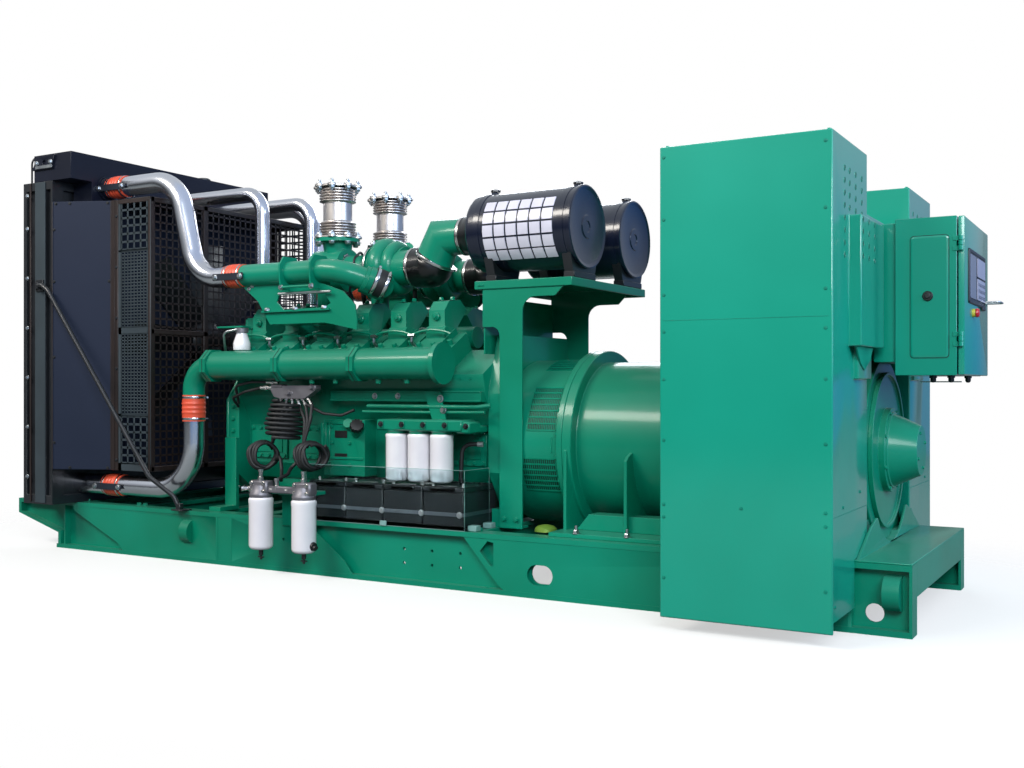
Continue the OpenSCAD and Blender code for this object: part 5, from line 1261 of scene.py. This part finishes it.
# folded chute under the raised cover, one each side
chute = []
for s in (1, -1):
    fold = [(-0.76, 1.156), (-0.69, 1.09), (-0.62, 1.062), (-0.53, 1.10), (-0.47, 1.156)]
    chute.append(pillow([(s * y, z) for y, z in fold][::s], [(2.5205, 0), (2.5265, 0), (2.5275, 0.001)]))
show("cable_chutes", joined(*chute), cabinet_enamel)

# -------------------------------------------------------------- control box
# Welded sheet-steel enclosure with a raised side lid held by a quarter-turn lock, cable glands
# under it, and a hinged front door.


def rounded(x0, x1, z0, z1, r):
    """A rectangle with corners of radius r, as (first, second) pairs."""
    t = np.radians(np.linspace(0, 90, 5))
    middles = ((x1 - r, z1 - r, 0), (x0 + r, z1 - r, math.pi / 2), (x0 + r, z0 + r, math.pi),
        (x1 - r, z0 + r, 1.5 * math.pi))
    return np.concatenate([np.stack([x + r * np.cos(t + q), z + r * np.sin(t + q)], -1) for x, z, q in middles])


# the hinges' pin, by its x and y, and the foot of each hinge
pin = (2.856, -0.364)
hinge_heights = (1.163, 1.558)
box = [pillow(rounded(2.592, 2.838, 1.043, 1.703, 0.004),
        [(-0.352, 0.002), (-0.350, 0), (0.350, 0), (0.352, 0.002)], 1)]
for z in hinge_heights:
    for z0 in (z, z + 0.041):
        box += [blocks((2.822, -0.3555, z0), (2.850, -0.3515, z0 + 0.019), 0.001),
            turned([(0, 0.009), (0.001, 0.010), (0.018, 0.010), (0.019, 0.009)], (*pin, z0), (0, 0, 1), 24)]
    box.append(turned([(0.001, 0.005), (0.059, 0.005)], (*pin, z), (0, 0, 1), 16))
show("control_case", joined(*box), cabinet_enamel, ["control_box"], crease=35)
lids = [pillow(rounded(2.655, 2.806, 1.117, 1.625, 0.014),
        [(s * 0.3515, 0), (s * 0.3545, 0), (s * 0.3565, 0.004), (s * 0.3565, 0.010)], 1) for s in (-1, 1)]
show("control_box_lids", joined(*lids), cabinet_enamel, crease=60)
# a dark plate just larger than each lid and set under it: its rim is painted shade in the gap round the lid
gasket_and_shadow_gap = [pillow(rounded(2.652, 2.809, 1.114, 1.628, 0.016), [(s * 0.3515, 0), (s * 0.3528, 0)], 1)
    for s in (-1, 1)]
show("lid_shadow_gaps", joined(*gasket_and_shadow_gap), dark_enamel)
lock = [(0, 0.021), (0.006, 0.021), (0.010, 0.018), (0.010, 0.013), (0.016, 0.012), (0.018, 0.009)]
locks = [turned(lock, (2.725, s * 0.3562, 1.374), (0, s, 0), 24) for s in (-1, 1)]
show("lid_locks", joined(*locks), moulded_black, crease=30)
gland = turned([(0, 0.017), (-0.010, 0.017), (-0.010, 0.013), (-0.022, 0.013), (-0.028, 0.009),
        (-0.030, 0.004)], sides=6)
at = [(2.72, -0.20, 1.0431), (2.793, -0.20, 1.0431), (2.815, 0.12, 1.0431)]
show("cable_glands", copies(gland, at), moulded_black, crease=30)
show("earth_rods", sweep([(2.667, -0.20, 1.0165), (2.835, -0.20, 1.0165)], 0.0028, 10), zinc)

# ------------------------------------------------------------- control door
# Pressed steel door on two lift-off hinges at the near edge, with a moulded controller let into
# it, an emergency stop and a bent-rod pull handle.
door = [pillow(rounded(-0.350, 0.352, 1.045, 1.701, 0.005),
        [(2.844, 0.001), (2.845, 0), (2.864, 0), (2.867, 0.0012), (2.868, 0.004)])]
for z in hinge_heights:
    door += [turned([(0.0200, 0.009), (0.0208, 0.010), (0.0392, 0.010), (0.0400, 0.009)], (*pin, z), (0, 0, 1),
            24), blocks((2.850, -0.364, z + 0.020), (2.862, -0.3495, z + 0.040), 0.001)]
show("door_leaf", joined(*door), cabinet_enamel, ["control_door"], body="door", crease=35)
grip = sweep(route([(2.866, 0.305, 1.377), (2.939, 0.305, 1.377), (2.939, 0.190, 1.377), (2.866, 0.190, 1.377)],
        0.016), 0.0042, 16, (0, 0.2, 1))
show("door_handle", joined(
        grip, *[turned([(0, 0.011), (0.003, 0.011), (0.004, 0.009)], (2.868, y, 1.377), (1, 0, 0), 20)
            for y in (0.305, 0.190)]), zinc, body="door", crease=40)

# Injection-moulded controller: black bezel, dark display glass, pale membrane keypad.
bezel_grey = coat("grey_abs_bezel", "#1a1b24", "#15161d", 0.45, grain=0.0008, depth=0.0001)
glass = coat("display_glass", "#555a75", "#484d68", 0.12, gloss=0.5, drift=0.2, grain=0.02, depth=0.0)
keypad = coat("membrane_keypad", "#9b9cb0", "#8c8da4", 0.4, grain=0.001, depth=0.0001)
show("controller_bezel", joined(pillow(rounded(-0.257, 0.215, 1.348, 1.578, 0.012),
            [(2.8675, 0), (2.873, 0), (2.876, 0.003), (2.876, 0.014), (2.873, 0.016)]),
        blocks((2.868, 0.12, 1.337), (2.879, 0.20, 1.356), 0.002)), bezel_grey, body="door", crease=30)
show("controller_display", pillow(rounded(-0.236, -0.075, 1.37, 1.555, 0.006),
        [(2.872, 0), (2.8755, 0), (2.8765, 0.001)]), glass, body="door")
show("controller_keypad", joined(pillow(rounded(-0.03, 0.198, 1.372, 1.465, 0.006),
            [(2.872, 0), (2.876, 0), (2.8768, 0.001)]),
        pillow(rounded(-0.03, 0.198, 1.473, 1.555, 0.006), [(2.872, 0), (2.876, 0), (2.8768, 0.001)])), keypad,
    body="door")
y, z = np.meshgrid(np.linspace(0.0, 0.168, 5), (1.388, 1.415, 1.442), indexing="ij")
keys = np.stack([np.full(y.size, 2.8766), y.ravel(), z.ravel()], -1)
show("controller_keys", blocks(keys - (0, 0.010, 0.007), keys + (0.0022, 0.010, 0.007), 0.001), glass, body="door")
# Signal red and yellow plastics: plain strong colours, the red one glossier.
signal_red = coat("signal_red_plastic", "#c4202e", "#a81826", 0.3, gloss=0.3, depth=0.0001)
signal_yellow = coat("signal_yellow_plastic", "#c8c04a", "#b4ac3c", 0.4, depth=0.0001)
stop = (2.8675, -0.125, 1.311)
show("stop_collar", turned([(0, 0.018), (0.003, 0.019), (0.012, 0.017), (0.014, 0.013)], stop, (1, 0, 0), 28),
    signal_yellow, body="door")
button = [(0.010, 0.010), (0.014, 0.011), (0.015, 0.0195), (0.021, 0.0195), (0.027, 0.016), (0.029, 0.008)]
show("stop_button", turned(button, stop, (1, 0, 0), 28), signal_red, body="door")
